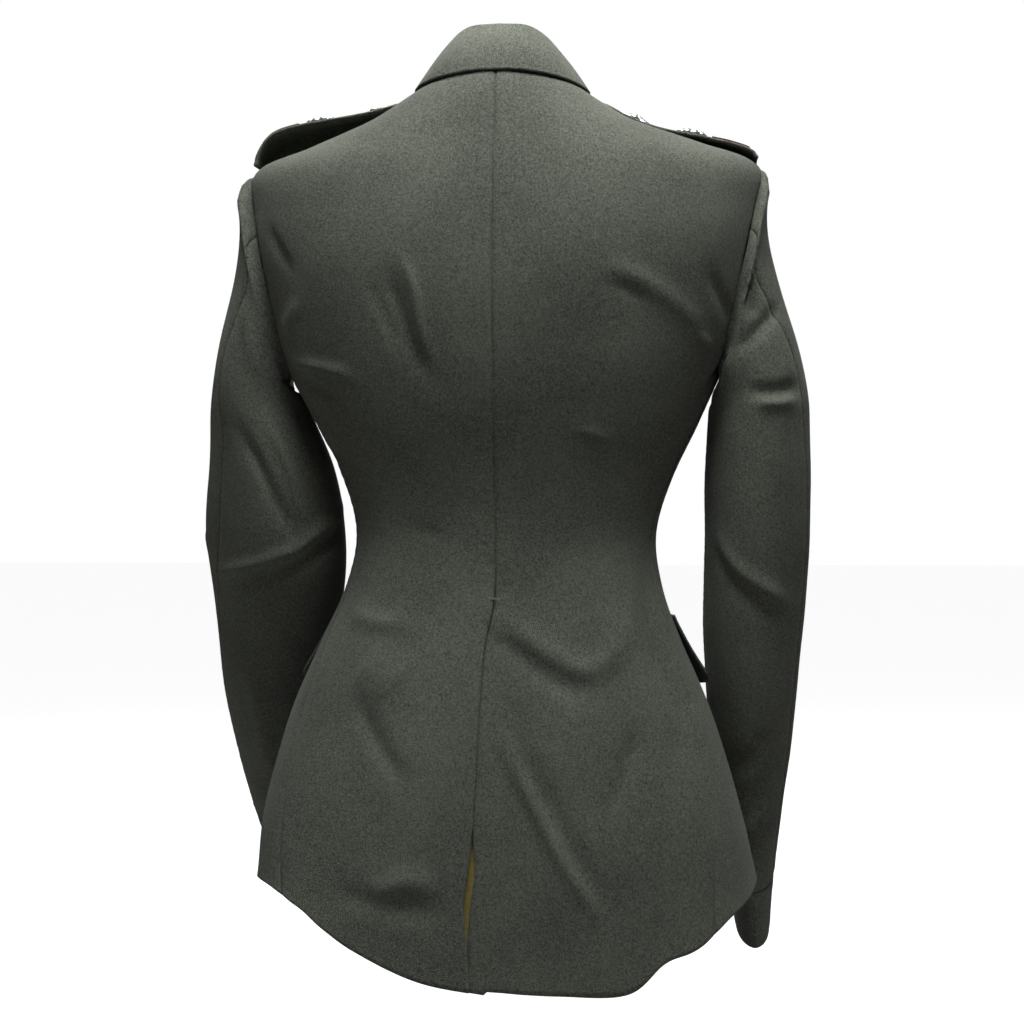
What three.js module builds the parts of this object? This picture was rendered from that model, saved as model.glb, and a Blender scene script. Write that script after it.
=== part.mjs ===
// Military dress tunic, filled out as worn with no wearer, in millimetres, +Z up.
// The front is -Y, the back is +Y, the wearer's left is +X.
// The origin is the centre of the neck, level with the collar seam.
import * as THREE from "three";

// Driving sizes
const CLOTH = 2.0; // wall of the woollen cloth
const LINING = 1.0; // wall of the lining
const SEAM = 0.3; // gap between two pieces at a seam
const LAY = 0.3; // gap under a piece that lies on another
const STRAP_WALL = 2.4; // shoulder strap, two layers of cloth
const LAP = 20; // reach of each front past the centre front
const CUFF_DEEP = 52;
const BUTTON_RADIUS = 9.5;
const BUTTON_TALL = 5.2;

// Stations of the torso, counted along its sections from hem to neck
const UNDERARM = 8;
const SHOULDER_TIP = 12;
const NECK = 16;
const BREAK = 9.2; // where the lapel starts to roll

// Colours of the materials
const WOOL = { color: 0x4a4e47, roughness: 0.95, metalness: 0 };
const SILVER = { color: 0xb9bbb8, roughness: 0.3, metalness: 0.9 };
const OLIVE = { color: 0x5b5326, roughness: 0.6, metalness: 0 };
const RED = { color: 0x5e2a2a, roughness: 0.9, metalness: 0 };

// Torso sections. y and z at the centre back and centre front, x of each side, y and z where
// the section is widest, how full each quarter is, and the angle of the side seam.
const TORSO = table(
  "yBack zBack xLeft xRight ySide zLeft zRight yFront zFront fullBack fullFront seam",
  [
    [150, -748, 205, 214, 34, -700, -700, -150, -726, 0.09, -0.1, 50], // hem
    [138, -655, 199, 203, 32, -620, -628, -146, -642, 0.09, -0.09, 54],
    [122, -565, 181, 181, 28, -545, -548, -140, -558, 0.08, -0.07, 59],
    [102, -485, 155, 153, 20, -480, -480, -132, -484, 0.07, -0.05, 65], // hip
    [88, -432, 134, 136, 12, -432, -432, -124, -432, 0.06, -0.02, 70],
    [81, -388, 127, 131, 7, -388, -388, -120, -386, 0.05, 0, 74], // waist
    [87, -340, 140, 145, 3, -340, -340, -127, -338, 0.05, 0.01, 77],
    [99, -292, 163, 167, 0, -294, -294, -138, -290, 0.06, 0.02, 80],
    [107, -248, 186, 186, -3, -252, -252, -143, -246, 0.06, 0.03, 82], // underarm
    [111, -204, 203, 203, -4, -206, -206, -142, -204, 0.06, 0.03, 84],
    [112, -160, 214, 214, -5, -160, -160, -135, -164, 0.06, 0.03, 86],
    [109, -122, 220, 220, -6, -116, -116, -121, -128, 0.05, 0.02, 88],
    [103, -88, 218.5, 218.5, -6, -75.5, -77, -103, -98, 0.03, 0, 90], // shoulder tip
    [96, -60, 178, 178, -6, -58.5, -59.5, -88, -74, 0.01, 0, 90],
    [88, -33, 128, 128, -5, -41.5, -45, -76, -56, 0, 0, 90],
    [78, -9, 98, 98, -4, -27, -31.5, -67, -44, 0, 0, 90],
    [64, 6, 72, 72, -3, -11, -14.5, -59, -34, 0, 0, 90], // neck seam
  ]
);

// Height of the hem round the body, on each side, and how many sections up it still shows
const HEM = table("angle left right", [
  [0, -747, -744],
  [15, -738, -746],
  [29, -717, -745],
  [37, -701, -722],
  [45, -685, -713],
  [60, -673, -688],
  [90, -678, -674],
  [125, -688, -706],
  [180, -727, -727],
]);
const HEM_FADE = 1.7;

// Back vent, by station: x of the lapping edge on the left back, and how far the right back
// reaches under it. The right back stands short of the edge where the reach is negative.
const VENT = table("station lap under", [
  [0, 14, 2],
  [0.35, 16, -1],
  [0.7, 19.3, -6],
  [1.1, 15.5, -5],
  [1.6, 12.5, 6],
  [2.3, 10.5, 16],
  [3.1, 7, 10],
  [3.5, 3, -0.6],
  [3.8, 0.2, -0.5],
]);
const VENT_TOP = 3.8;
const SUNK = CLOTH + LAY + 0.7; // how far in an underlap lies

// Strip of lining that shows in the gaping vent: stations of its ends and reach from the lap
const VENT_LINING = { bottom: 0.38, top: 2.9, right: -24, left: 16 };

// Sleeve rings below the upper arm: centre, half sizes across and fore-and-aft, turn of the
// section in degrees, and the angles of the hind and fore seams on the ring.
const SLEEVE_COLUMNS = "x y z half deep turn hind fore";
const SLEEVES = {
  left: table(SLEEVE_COLUMNS, [
    [219.5, -15, -285, 43.5, 63, 12, 44, 212],
    [209.5, -21, -345, 56, 71, 30, 17, 202],
    [208, -32, -400, 58, 76, 40, 2, 195],
    [214, -64, -462, 54.5, 68, 36, -4, 192],
    [225, -102, -530, 47, 61, 30, -2, 192],
    [231, -143, -596, 38, 58, 24, 0, 193],
    [229, -176, -652, 33, 57, 20, 5, 195],
    [224, -203, -696, 28, 57, 18, 5, 195],
  ]),
  right: table(SLEEVE_COLUMNS, [
    [218.5, -15, -285, 43, 63, 0, 34, 196],
    [217.5, -14, -345, 45, 62, 0, 26, 184],
    [217, -16, -400, 45, 61, 0, 25, 180],
    [214, -24, -470, 42.5, 60, 0, 27, 174],
    [213, -38, -545, 37.5, 60, 0, 30, 168],
    [212.5, -58, -615, 30, 61, 0, 32, 164],
    [214, -74, -685, 21, 62, 0, 32, 162],
    [216, -82, -738, 15, 62, 0, 32, 162],
  ]),
};
const HEAD_OUT = { left: 12, right: 6.5 }; // how far the sleeve head rolls out past the armhole
const HEAD_DOWN = 13; // and how far down
const HEAD_SHARE = 0.07; // share of the sleeve's length taken by the head
const BLEND_SHARE = 0.36; // share at which the first ring is reached

// Armhole: how far it opens behind and in front of its middle line, in degrees of section
const ARMHOLE_BACK = 18;
const ARMHOLE_FRONT = 33;

// Collar: the angle round the neck, the fold line, the station of the fall's edge on the
// body and how far the edge stands off.
const COLLAR = table("angle xFold yFold zFold station lift", [
  [0, 0, 55, 36.5, 15.05, 3],
  [30, 27, 49, 35.5, 15.15, 3],
  [60, 46, 27, 25, 15.6, 3],
  [90, 51, -5, 8, 15.98, 3],
  [112, 58, -26, -6, 15.3, 3.4],
  [127, 62, -37, -17, 13.9, 3.4],
]);

// Shoulder straps: x along the shoulder and the height of the strap's top over the seam line
const STRAPS = {
  left: table("x lift", [
    [83, 3.5],
    [91, 6],
    [104, 9.5],
    [123, 14.5],
    [142, 18.5],
    [160, 21.5],
    [177, 24.5],
    [190, 25.5],
    [201, 24],
    [209, 19],
    [214.5, 12],
    [216.8, 5],
  ]),
  right: table("x lift", [
    [83, 4.6],
    [91, 4.8],
    [104, 4.6],
    [123, 4.4],
    [142, 4.6],
    [160, 5.8],
    [177, 7],
    [189, 8],
    [199, 8],
    [208, 8],
    [214, 7.5],
    [216.8, 5.6],
  ]),
};
const STRAP_WIDE = 46; // at the sleeve
const STRAP_NARROW = 38; // before the point
const STRAP_CROWN = 0.8; // how far its long edges bend down
const STRAP_MIDDLE = -5; // y of its middle line
const ORNAMENT = { pip: 112, rosette: 160, radius: 13, tall: 4.2, rim: 1 }; // x of each, and sizes
const TAB = { from: 178, to: 209, wide: 34, thick: 1.2 }; // coloured tab on the strap

// Hip flaps: angle of section of the rear and front ends, stations of the edges, and how far
// the lower rear corner stands off
const FLAP = { rear: 94, front: 134, top: 3.4, bottom: 2.4, standLeft: 5, standRight: 7 };

// Front buttons: x of the row, and its stations from the break down
const BUTTON_X = -3;
const BUTTON_STATIONS = [8.9, 7.35, 5.85, 4.35];

function table(names, rows) {
  const keys = names.split(" ");
  return rows.map((row) => Object.fromEntries(row.map((value, i) => [keys[i], value])));
}

const radians = THREE.MathUtils.degToRad;
const clamp = THREE.MathUtils.clamp;
const lerp = THREE.MathUtils.lerp;

function smooth(value, low, high) {
  const s = clamp((value - low) / (high - low), 0, 1);
  return s * s * (3 - 2 * s);
}

// Smooth value of one column between the rows of a table, at row number "at"
function column(rows, name, at) {
  const last = rows.length - 1;
  const place = clamp(at, 0, last);
  const i = Math.min(Math.floor(place), last - 1);
  const s = place - i;
  const value = (k) => rows[clamp(k, 0, last)][name];
  const slopeA = i === 0 ? value(1) - value(0) : (value(i + 1) - value(i - 1)) / 2;
  const slopeB = i + 1 === last ? value(last) - value(last - 1) : (value(i + 2) - value(i)) / 2;
  const s2 = s * s;
  const s3 = s2 * s;
  const start = (2 * s3 - 3 * s2 + 1) * value(i) + (s3 - 2 * s2 + s) * slopeA;
  return start + (3 * s2 - 2 * s3) * value(i + 1) + (s3 - s2) * slopeB;
}

// Row number at which a rising column reaches a value
function rowAt(rows, name, wanted) {
  let low = 0;
  let high = rows.length - 1;
  for (let k = 0; k < 40; k += 1) {
    const middle = (low + high) / 2;
    if (column(rows, name, middle) < wanted) low = middle;
    else high = middle;
  }
  return low;
}

// A point of the torso: the angle runs from the centre back (0) by the wearer's left side
// (90) to the centre front (180), and is negative on the right.
function torso(angle, station) {
  const turned = angle > 180 ? angle - 360 : angle < -180 ? angle + 360 : angle;
  const left = turned >= 0;
  const a = radians(Math.abs(turned));
  const behind = Math.abs(turned) <= 90;
  const get = (name) => column(TORSO, name, station);
  const full = get(behind ? "fullBack" : "fullFront");
  const swell = 1 + full * Math.sin(2 * a) ** 2;
  const x = get(left ? "xLeft" : "xRight") * Math.sin(a) * swell;
  const deep = (behind ? get("yBack") : get("yFront")) - get("ySide");
  const y = get("ySide") + deep * Math.abs(Math.cos(a)) * swell;
  return new THREE.Vector3(left ? x : -x, y, torsoHeight(turned, station) + hemRise(turned, station));
}

function torsoHeight(angle, station) {
  const side = column(TORSO, angle >= 0 ? "zLeft" : "zRight", station);
  const end = column(TORSO, Math.abs(angle) <= 90 ? "zBack" : "zFront", station);
  return end + (side - end) * Math.sin(radians(angle)) ** 2;
}

function hemRise(angle, station) {
  if (station >= HEM_FADE) return 0;
  const hem = column(HEM, angle >= 0 ? "left" : "right", rowAt(HEM, "angle", Math.abs(angle)));
  return (hem - torsoHeight(angle, 0)) * (1 - station / HEM_FADE) ** 2;
}

function torsoNormal(angle, station) {
  const low = Math.max(station - 0.05, 0);
  const high = Math.min(station + 0.05, NECK);
  const round = torso(angle + 1, station).sub(torso(angle - 1, station));
  const up = torso(angle, high).sub(torso(angle, low));
  return up.cross(round).normalize();
}

function torsoOut(angle, station, out) {
  return torso(angle, station).addScaledVector(torsoNormal(angle, station), out);
}

// Angle of section at which the back or the front has a given x
function angleAtX(x, station, front) {
  let low = -90;
  let high = 90;
  const at = (a) => (front ? (a > 0 ? 180 - a : -180 - a) : a);
  for (let k = 0; k < 40; k += 1) {
    const middle = (low + high) / 2;
    if (torso(at(middle), station).x < x) low = middle;
    else high = middle;
  }
  const found = (low + high) / 2;
  if (!front) return found;
  return 180 - found;
}

// A closed wall over a grid. "outer" gives the outer point and "out" its outward normal at
// u and v from 0 to 1. The thickness is a number, or depends on u and v. A round wall closes
// on itself along u.
function wall(outer, normal, columns, rows, thick, round = false) {
  const wide = round ? columns : columns + 1;
  const positions = [];
  for (const depth of [0, 1]) {
    for (let j = 0; j <= rows; j += 1) {
      for (let i = 0; i < wide; i += 1) {
        const u = i / columns;
        const v = j / rows;
        const deep = depth * (typeof thick === "function" ? thick(u, v) : thick);
        const point = outer(u, v).addScaledVector(normal(u, v), -deep);
        positions.push(point.x, point.y, point.z);
      }
    }
  }
  const inner = wide * (rows + 1);
  const at = (i, j, side) => side * inner + j * wide + (i % wide);
  const index = [];
  const quad = (a, b, c, d) => index.push(a, b, c, a, c, d);
  for (let j = 0; j < rows; j += 1) {
    for (let i = 0; i < columns; i += 1) {
      quad(at(i, j, 0), at(i + 1, j, 0), at(i + 1, j + 1, 0), at(i, j + 1, 0));
      quad(at(i, j, 1), at(i, j + 1, 1), at(i + 1, j + 1, 1), at(i + 1, j, 1));
    }
  }
  for (let i = 0; i < columns; i += 1) {
    quad(at(i, 0, 0), at(i, 0, 1), at(i + 1, 0, 1), at(i + 1, 0, 0));
    quad(at(i, rows, 0), at(i + 1, rows, 0), at(i + 1, rows, 1), at(i, rows, 1));
  }
  if (!round) {
    for (let j = 0; j < rows; j += 1) {
      quad(at(0, j, 0), at(0, j + 1, 0), at(0, j + 1, 1), at(0, j, 1));
      quad(at(columns, j, 0), at(columns, j, 1), at(columns, j + 1, 1), at(columns, j + 1, 0));
    }
  }
  if (volume(positions, index) < 0) {
    for (let k = 0; k < index.length; k += 3) {
      [index[k + 1], index[k + 2]] = [index[k + 2], index[k + 1]];
    }
  }
  const geometry = new THREE.BufferGeometry();
  geometry.setAttribute("position", new THREE.Float32BufferAttribute(positions, 3));
  geometry.setIndex(index);
  geometry.computeVertexNormals();
  return geometry;
}

function volume(positions, index) {
  const corner = (k) => new THREE.Vector3().fromArray(positions, 3 * index[k]);
  let sum = 0;
  for (let k = 0; k < index.length; k += 3) {
    sum += corner(k).dot(corner(k + 1).cross(corner(k + 2))) / 6;
  }
  return sum;
}

const tunic = new THREE.Group();

function add(name, geometry, finish) {
  const mesh = new THREE.Mesh(geometry, new THREE.MeshStandardMaterial(finish));
  mesh.name = name;
  tunic.add(mesh);
  return mesh;
}

// The armhole as a loop: 0 at the shoulder tip, 90 behind, 180 under the arm, 270 in front.
function armhole(around) {
  const a = radians(around);
  const middle = (SHOULDER_TIP + UNDERARM) / 2;
  const station = middle + ((SHOULDER_TIP - UNDERARM) / 2) * Math.cos(a);
  const across = Math.sin(a);
  const open = across >= 0 ? ARMHOLE_BACK : ARMHOLE_FRONT;
  return { angle: column(TORSO, "seam", station) - open * across, station };
}

// Rows of the body panels: side seam, armhole, shoulder seam
const SIDE_ROWS = 10;
const ARM_ROWS = 8;
const SHOULDER_ROWS = 5;
const PANEL_ROWS = SIDE_ROWS + ARM_ROWS + SHOULDER_ROWS;
const BACK_COLUMNS = 10;
const FRONT_COLUMNS = 10;

// The outer edge that a back or a front shares with its neighbours, at row number r
function outerEdge(r, back) {
  if (r <= SIDE_ROWS) {
    const station = (UNDERARM * r) / SIDE_ROWS;
    return { angle: column(TORSO, "seam", station), station };
  }
  if (r <= SIDE_ROWS + ARM_ROWS) {
    const share = (r - SIDE_ROWS) / ARM_ROWS;
    return armhole(back ? 180 - 180 * share : 180 + 180 * share);
  }
  const share = (r - SIDE_ROWS - ARM_ROWS) / SHOULDER_ROWS;
  return { angle: 90, station: lerp(SHOULDER_TIP, NECK, share) };
}

// Station along the centre back or the front edge at row number r
function centreStation(r) {
  const underarm = UNDERARM - 0.4;
  if (r <= SIDE_ROWS) return (underarm * r) / SIDE_ROWS;
  const tip = SHOULDER_TIP + 0.2;
  if (r <= SIDE_ROWS + ARM_ROWS) return lerp(underarm, tip, (r - SIDE_ROWS) / ARM_ROWS);
  return lerp(tip, NECK, (r - SIDE_ROWS - ARM_ROWS) / SHOULDER_ROWS);
}

// Half the seam gap as an angle of section
function gapAngle(angle, station) {
  const step = torso(angle + 1, station).distanceTo(torso(angle, station));
  return SEAM / 2 / step;
}

// x of the lapping edge of the vent, and of the underlap's edge
function ventLap(station) {
  return column(VENT, "lap", rowAt(VENT, "station", station));
}

function ventUnder(station) {
  return ventLap(station) + column(VENT, "under", rowAt(VENT, "station", station));
}

// How far in the right back lies where it runs under the left one at the vent
function backSink(spot) {
  const lap = ventLap(spot.station);
  const x = torso(spot.angle, spot.station).x;
  return SUNK * (1 - smooth(spot.station, VENT_TOP, VENT_TOP + 0.8)) * smooth(x, lap - 45, lap - 20);
}

// How far in the right front lies where it runs under the left one
function frontSink(spot) {
  const x = torso(spot.angle, spot.station).x;
  return (SUNK + 0.6) * smooth(x, -LAP - 50, -LAP - 22) * (1 - smooth(spot.station, 10.6, 12));
}

function backPanel(side) {
  const left = side > 0;
  const place = (u, v) => {
    const r = v * PANEL_ROWS;
    const station = centreStation(r);
    let start = side * gapAngle(0, station);
    if (station < VENT_TOP) {
      const x = left ? ventLap(station) : ventUnder(station);
      start = angleAtX(x, station, false);
    }
    const edge = outerEdge(r, true);
    const end = side * (edge.angle - gapAngle(edge.angle, edge.station));
    return { angle: lerp(start, end, u), station: lerp(station, edge.station, u) };
  };
  return wall(
    (u, v) => {
      const spot = place(u, v);
      return torsoOut(spot.angle, spot.station, left ? 0 : -backSink(spot));
    },
    (u, v) => {
      const spot = place(u, v);
      return torsoNormal(spot.angle, spot.station);
    },
    BACK_COLUMNS,
    PANEL_ROWS,
    CLOTH
  );
}

// The roll line of the lapel, from the break (0) to the neck seam (1)
function rollLine(share, side) {
  const station = lerp(BREAK, NECK, share);
  const x = lerp(-LAP, 68, share ** 0.95);
  const angle = angleAtX(x, station, true);
  return { angle: side * angle, station };
}

function frontEdge(r, side) {
  const breakRow = SIDE_ROWS + 3;
  if (r <= breakRow) {
    const rise = lerp(centreStation(SIDE_ROWS), BREAK, (r - SIDE_ROWS) / 3);
    const station = r <= SIDE_ROWS ? centreStation(r) : rise;
    return { angle: side * angleAtX(-LAP, station, true), station };
  }
  return rollLine((r - breakRow) / (PANEL_ROWS - breakRow), side);
}

function frontPanel(side) {
  const left = side > 0;
  const place = (u, v) => {
    const r = v * PANEL_ROWS;
    const edge = outerEdge(r, false);
    const start = side * (edge.angle + gapAngle(edge.angle, edge.station));
    const front = frontEdge(r, side);
    return { angle: lerp(start, front.angle, u), station: lerp(edge.station, front.station, u) };
  };
  return wall(
    (u, v) => {
      const spot = place(u, v);
      return torsoOut(spot.angle, spot.station, left ? 0 : -frontSink(spot));
    },
    (u, v) => {
      const spot = place(u, v);
      return torsoNormal(spot.angle, spot.station);
    },
    FRONT_COLUMNS,
    PANEL_ROWS,
    CLOTH
  );
}

add("back_left", backPanel(1), WOOL);
add("back_right", backPanel(-1), WOOL);
add("front_left", frontPanel(1), WOOL);
add("front_right", frontPanel(-1), WOOL);

// The lapel turns back on the front at its roll line.
const LAPEL_TIP = { station: 12.5, x: 126 };
const LAPEL_FOOT = 0.22;
const LAPEL_TOP = 0.93;

function lapel(side) {
  const out = LAY + CLOTH + 0.4;
  const place = (u, v) => {
    const inner = rollLine(lerp(LAPEL_FOOT, LAPEL_TOP, v), side);
    const station = lerp(lerp(BREAK, NECK, LAPEL_FOOT) - 0.1, LAPEL_TIP.station, v);
    const x = lerp(8, LAPEL_TIP.x, v ** 1.1) + 7 * Math.sin(Math.PI * v);
    const outer = side * angleAtX(x, station, true);
    return { angle: lerp(inner.angle, outer, u), station: lerp(inner.station, station, u) };
  };
  const surface = (u, v) => {
    const spot = place(u, v);
    const roll = 3 * Math.sin(Math.PI * clamp(u * 1.4, 0, 1)) * v;
    return torsoOut(spot.angle, spot.station, out + roll - (side > 0 ? 0 : frontSink(spot)));
  };
  const normal = (u, v) => {
    const spot = place(u, v);
    return torsoNormal(spot.angle, spot.station);
  };
  return wall(surface, normal, 5, 9, CLOTH);
}

add("lapel_left", lapel(1), WOOL);
add("lapel_right", lapel(-1), WOOL);

// Collar: the stand rises from the neck seam to the fold, the fall comes down outside it.
const COLLAR_END = COLLAR.at(-1).angle;
const STAND_END = 100;

function collarFold(angle) {
  const row = rowAt(COLLAR, "angle", Math.abs(angle));
  const x = column(COLLAR, "xFold", row) * Math.sign(angle);
  return new THREE.Vector3(x, column(COLLAR, "yFold", row), column(COLLAR, "zFold", row));
}

function collarFall() {
  const surface = (u, v) => {
    const angle = lerp(-COLLAR_END, COLLAR_END, u);
    const row = rowAt(COLLAR, "angle", Math.abs(angle));
    const fold = collarFold(angle);
    const edge = torsoOut(angle, column(COLLAR, "station", row), column(COLLAR, "lift", row));
    const point = fold.lerp(edge, v);
    const bulge = lerp(3.5, 1, smooth(Math.abs(angle), 20, 60)) * Math.sin(Math.PI * v);
    const away = new THREE.Vector3(point.x, point.y, 0).normalize();
    point.addScaledVector(away, bulge);
    point.z += 0.6 * bulge;
    return point;
  };
  return wall(surface, gridNormal(surface, 1), 24, 3, CLOTH);
}

function collarStand() {
  const surface = (u, v) => {
    const angle = lerp(-STAND_END, STAND_END, u);
    const seam = torso(angle, NECK);
    const fold = collarFold(angle);
    seam.z += SEAM + 0.4;
    fold.z -= CLOTH + 2.2;
    const inward = new THREE.Vector3(fold.x, fold.y, 0).normalize();
    fold.addScaledVector(inward, -3.4);
    seam.addScaledVector(inward, -1.6);
    const bow = -1.5 * Math.sin(Math.PI * v);
    return seam.lerp(fold, v).addScaledVector(inward, bow);
  };
  return wall(surface, gridNormal(surface, 1), 20, 2, CLOTH * 0.75);
}

// Normal of a grid surface, facing away from the axis of the body when "sign" is 1
function gridNormal(surface, sign) {
  return (u, v) => {
    const e = 0.004;
    const along = surface(Math.min(u + e, 1), v).sub(surface(Math.max(u - e, 0), v));
    const up = surface(u, Math.min(v + e, 1)).sub(surface(u, Math.max(v - e, 0)));
    return along.cross(up).normalize().multiplyScalar(sign);
  };
}

add("collar_fall", collarFall(), WOOL);
add("collar_stand", collarStand(), WOOL);

// Sleeves. The angle round a sleeve is 0 outside, 90 behind, 180 inside and 270 in front.
const SLEEVE_ROWS = 14;

function ring(rows, side, around, at) {
  const get = (name) => column(rows, name, at);
  const a = radians(around);
  const turn = radians(get("turn"));
  const across = get("half") * Math.cos(a);
  const along = get("deep") * Math.sin(a);
  const step = 0.05;
  const middle = (k) => new THREE.Vector3(column(rows, "x", k), column(rows, "y", k), column(rows, "z", k));
  const down = middle(at + step).sub(middle(at - step)).normalize();
  const outward = new THREE.Vector3(Math.cos(turn), Math.sin(turn), 0);
  const backward = new THREE.Vector3(-Math.sin(turn), Math.cos(turn), 0);
  outward.addScaledVector(down, -outward.dot(down)).normalize();
  backward.crossVectors(outward, down).normalize();
  const point = middle(at).addScaledVector(outward, across).addScaledVector(backward, along);
  return new THREE.Vector3(side * point.x, point.y, point.z);
}

function hermite(from, leave, to, arrive, s) {
  const s2 = s * s;
  const s3 = s2 * s;
  return from
    .clone()
    .multiplyScalar(2 * s3 - 3 * s2 + 1)
    .addScaledVector(leave, s3 - 2 * s2 + s)
    .addScaledVector(to, 3 * s2 - 2 * s3)
    .addScaledVector(arrive, s3 - s2);
}

// A point of a sleeve: share runs from the armhole (0) to the end of the sleeve (1).
function sleevePoint(side, around, share) {
  const rows = side > 0 ? SLEEVES.left : SLEEVES.right;
  const a = radians(around);
  const top = (1 + Math.cos(a)) / 2;
  const spot = armhole(around);
  const seam = torso(side * spot.angle, spot.station);
  const fore = Math.sin(a) < 0 ? 1 : 0;
  const begin = seam.clone().add(new THREE.Vector3(side * lerp(1.5, 0.8, top), 0, lerp(-1, 0.1, top)));
  const out = lerp(4.5, side > 0 ? HEAD_OUT.left : HEAD_OUT.right, top ** 0.6);
  const head = seam.clone();
  head.x += side * out;
  head.y += Math.sin(a) * lerp(4, 1, fore);
  head.z -= lerp(10, HEAD_DOWN, top);
  if (share < HEAD_SHARE) {
    const leave = new THREE.Vector3(side * out * 1.5, 0, -lerp(12, 2, top));
    const arrive = new THREE.Vector3(0, 0, -lerp(10, 20, top));
    return hermite(begin, leave, head, arrive, share / HEAD_SHARE);
  }
  const first = ring(rows, side, around, 0);
  if (share < BLEND_SHARE) {
    const s = (share - HEAD_SHARE) / (BLEND_SHARE - HEAD_SHARE);
    const far = head.distanceTo(first);
    const arrive = ring(rows, side, around, 0.1).sub(first).normalize().multiplyScalar(far);
    return hermite(head, new THREE.Vector3(-0.16 * far * side, 0, -far), first, arrive, s);
  }
  const last = rows.length - 1;
  return ring(rows, side, around, (last * (share - BLEND_SHARE)) / (1 - BLEND_SHARE));
}

// Angle of the hind or fore seam at a share of the sleeve
function sleeveSeam(side, name, share) {
  const rows = side > 0 ? SLEEVES.left : SLEEVES.right;
  const start = name === "hind" ? 90 : 247.5;
  if (share < BLEND_SHARE) {
    return lerp(start, rows[0][name], smooth(share, 0, BLEND_SHARE));
  }
  return column(rows, name, ((rows.length - 1) * (share - BLEND_SHARE)) / (1 - BLEND_SHARE));
}

function sleeveNormal(side, around, share) {
  const e = 0.004;
  const low = Math.max(share - e, 0);
  const high = Math.min(share + e, 1);
  const round = sleevePoint(side, around + 1, share).sub(sleevePoint(side, around - 1, share));
  const down = sleevePoint(side, around, high).sub(sleevePoint(side, around, low));
  return round.cross(down).normalize().multiplyScalar(side);
}

// Rows of a sleeve crowd together at the head.
function sleeveShare(v, end) {
  const head = 3 / SLEEVE_ROWS;
  if (v < head) return (HEAD_SHARE * v) / head;
  return lerp(HEAD_SHARE, end, (v - head) / (1 - head));
}

// Half the seam gap as an angle round the sleeve
function sleeveGap(side, around, share) {
  const step = sleevePoint(side, around + 1, share).distanceTo(sleevePoint(side, around, share));
  return SEAM / 2 / step;
}

function sleevePiece(side, name, end) {
  const spot = (u, v) => {
    const share = sleeveShare(v, end);
    const hind = sleeveSeam(side, "hind", share);
    const fore = sleeveSeam(side, "fore", share);
    const atHind = sleeveGap(side, hind, share);
    const atFore = sleeveGap(side, fore, share);
    const from = name === "top" ? fore - 360 + atFore : hind + atHind;
    const to = name === "top" ? hind - atHind : fore - atFore;
    return { around: lerp(from, to, u), share };
  };
  const surface = (u, v) => {
    const at = spot(u, v);
    return sleevePoint(side, at.around, at.share);
  };
  const normal = (u, v) => {
    const at = spot(u, v);
    return sleeveNormal(side, at.around, at.share);
  };
  return wall(surface, normal, name === "top" ? 9 : 7, SLEEVE_ROWS, CLOTH);
}

// Share of the sleeve where the cuff starts
function cuffShare(side) {
  let length = 0;
  let share = 1;
  const middle = (s) => {
    const inner = sleevePoint(side, 180, s);
    return sleevePoint(side, 0, s).add(inner).multiplyScalar(0.5);
  };
  while (length < CUFF_DEEP) {
    length += middle(share).distanceTo(middle(share - 0.005));
    share -= 0.005;
  }
  return share;
}

for (const [word, side] of [
  ["left", 1],
  ["right", -1],
]) {
  const end = cuffShare(side);
  add(`top_sleeve_${word}`, sleevePiece(side, "top", end), WOOL);
  add(`under_sleeve_${word}`, sleevePiece(side, "under", end), WOOL);
  const cuff = wall(
    (u, v) => sleevePoint(side, 360 * u, lerp(end + 0.0006, 1, v)),
    (u, v) => sleeveNormal(side, 360 * u, lerp(end + 0.0006, 1, v)),
    18,
    2,
    CLOTH,
    true
  );
  add(`cuff_${word}`, cuff, WOOL);
}

// Shoulder straps
function ridgeHeight(side, x) {
  let low = SHOULDER_TIP;
  let high = NECK;
  for (let k = 0; k < 40; k += 1) {
    const middle = (low + high) / 2;
    if (Math.abs(torso(side * 90, middle).x) > x) low = middle;
    else high = middle;
  }
  return torso(side * 90, low).z;
}

function strapPoint(side, x, y) {
  const rows = side > 0 ? STRAPS.left : STRAPS.right;
  const lift = column(rows, "lift", rowAt(rows, "x", x));
  const drop = STRAP_CROWN * (y / (STRAP_WIDE / 2)) ** 2;
  return new THREE.Vector3(side * x, STRAP_MIDDLE + y, ridgeHeight(side, x) + lift - drop);
}

function strapNormal(side, x, y) {
  const along = strapPoint(side, x + 0.4, y).sub(strapPoint(side, x - 0.4, y));
  const across = strapPoint(side, x, y + 1).sub(strapPoint(side, x, y - 1));
  return along.cross(across).normalize().multiplyScalar(side);
}

function strap(side) {
  const rows = side > 0 ? STRAPS.left : STRAPS.right;
  const place = (u, v) => {
    const x = column(rows, "x", u * (rows.length - 1));
    const wide = lerp(STRAP_NARROW, STRAP_WIDE, u) * lerp(0.45, 1, smooth(u, 0, 0.12));
    return [side, x, wide * (v - 0.5)];
  };
  return wall(
    (u, v) => strapPoint(...place(u, v)),
    (u, v) => strapNormal(...place(u, v)),
    2 * (rows.length - 1),
    2,
    STRAP_WALL
  );
}

// A raised piece on a strap: "place" gives x and y from the middle, "tall" its height and
// "under" the gap below it.
function raised(side, place, tall, columns, rows, under = LAY) {
  const normal = (u, v) => strapNormal(side, ...place(u, v));
  const top = (u, v) => {
    const point = strapPoint(side, ...place(u, v));
    return point.addScaledVector(normal(u, v), under + tall(u, v));
  };
  return wall(top, normal, columns, rows, tall);
}

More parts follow.
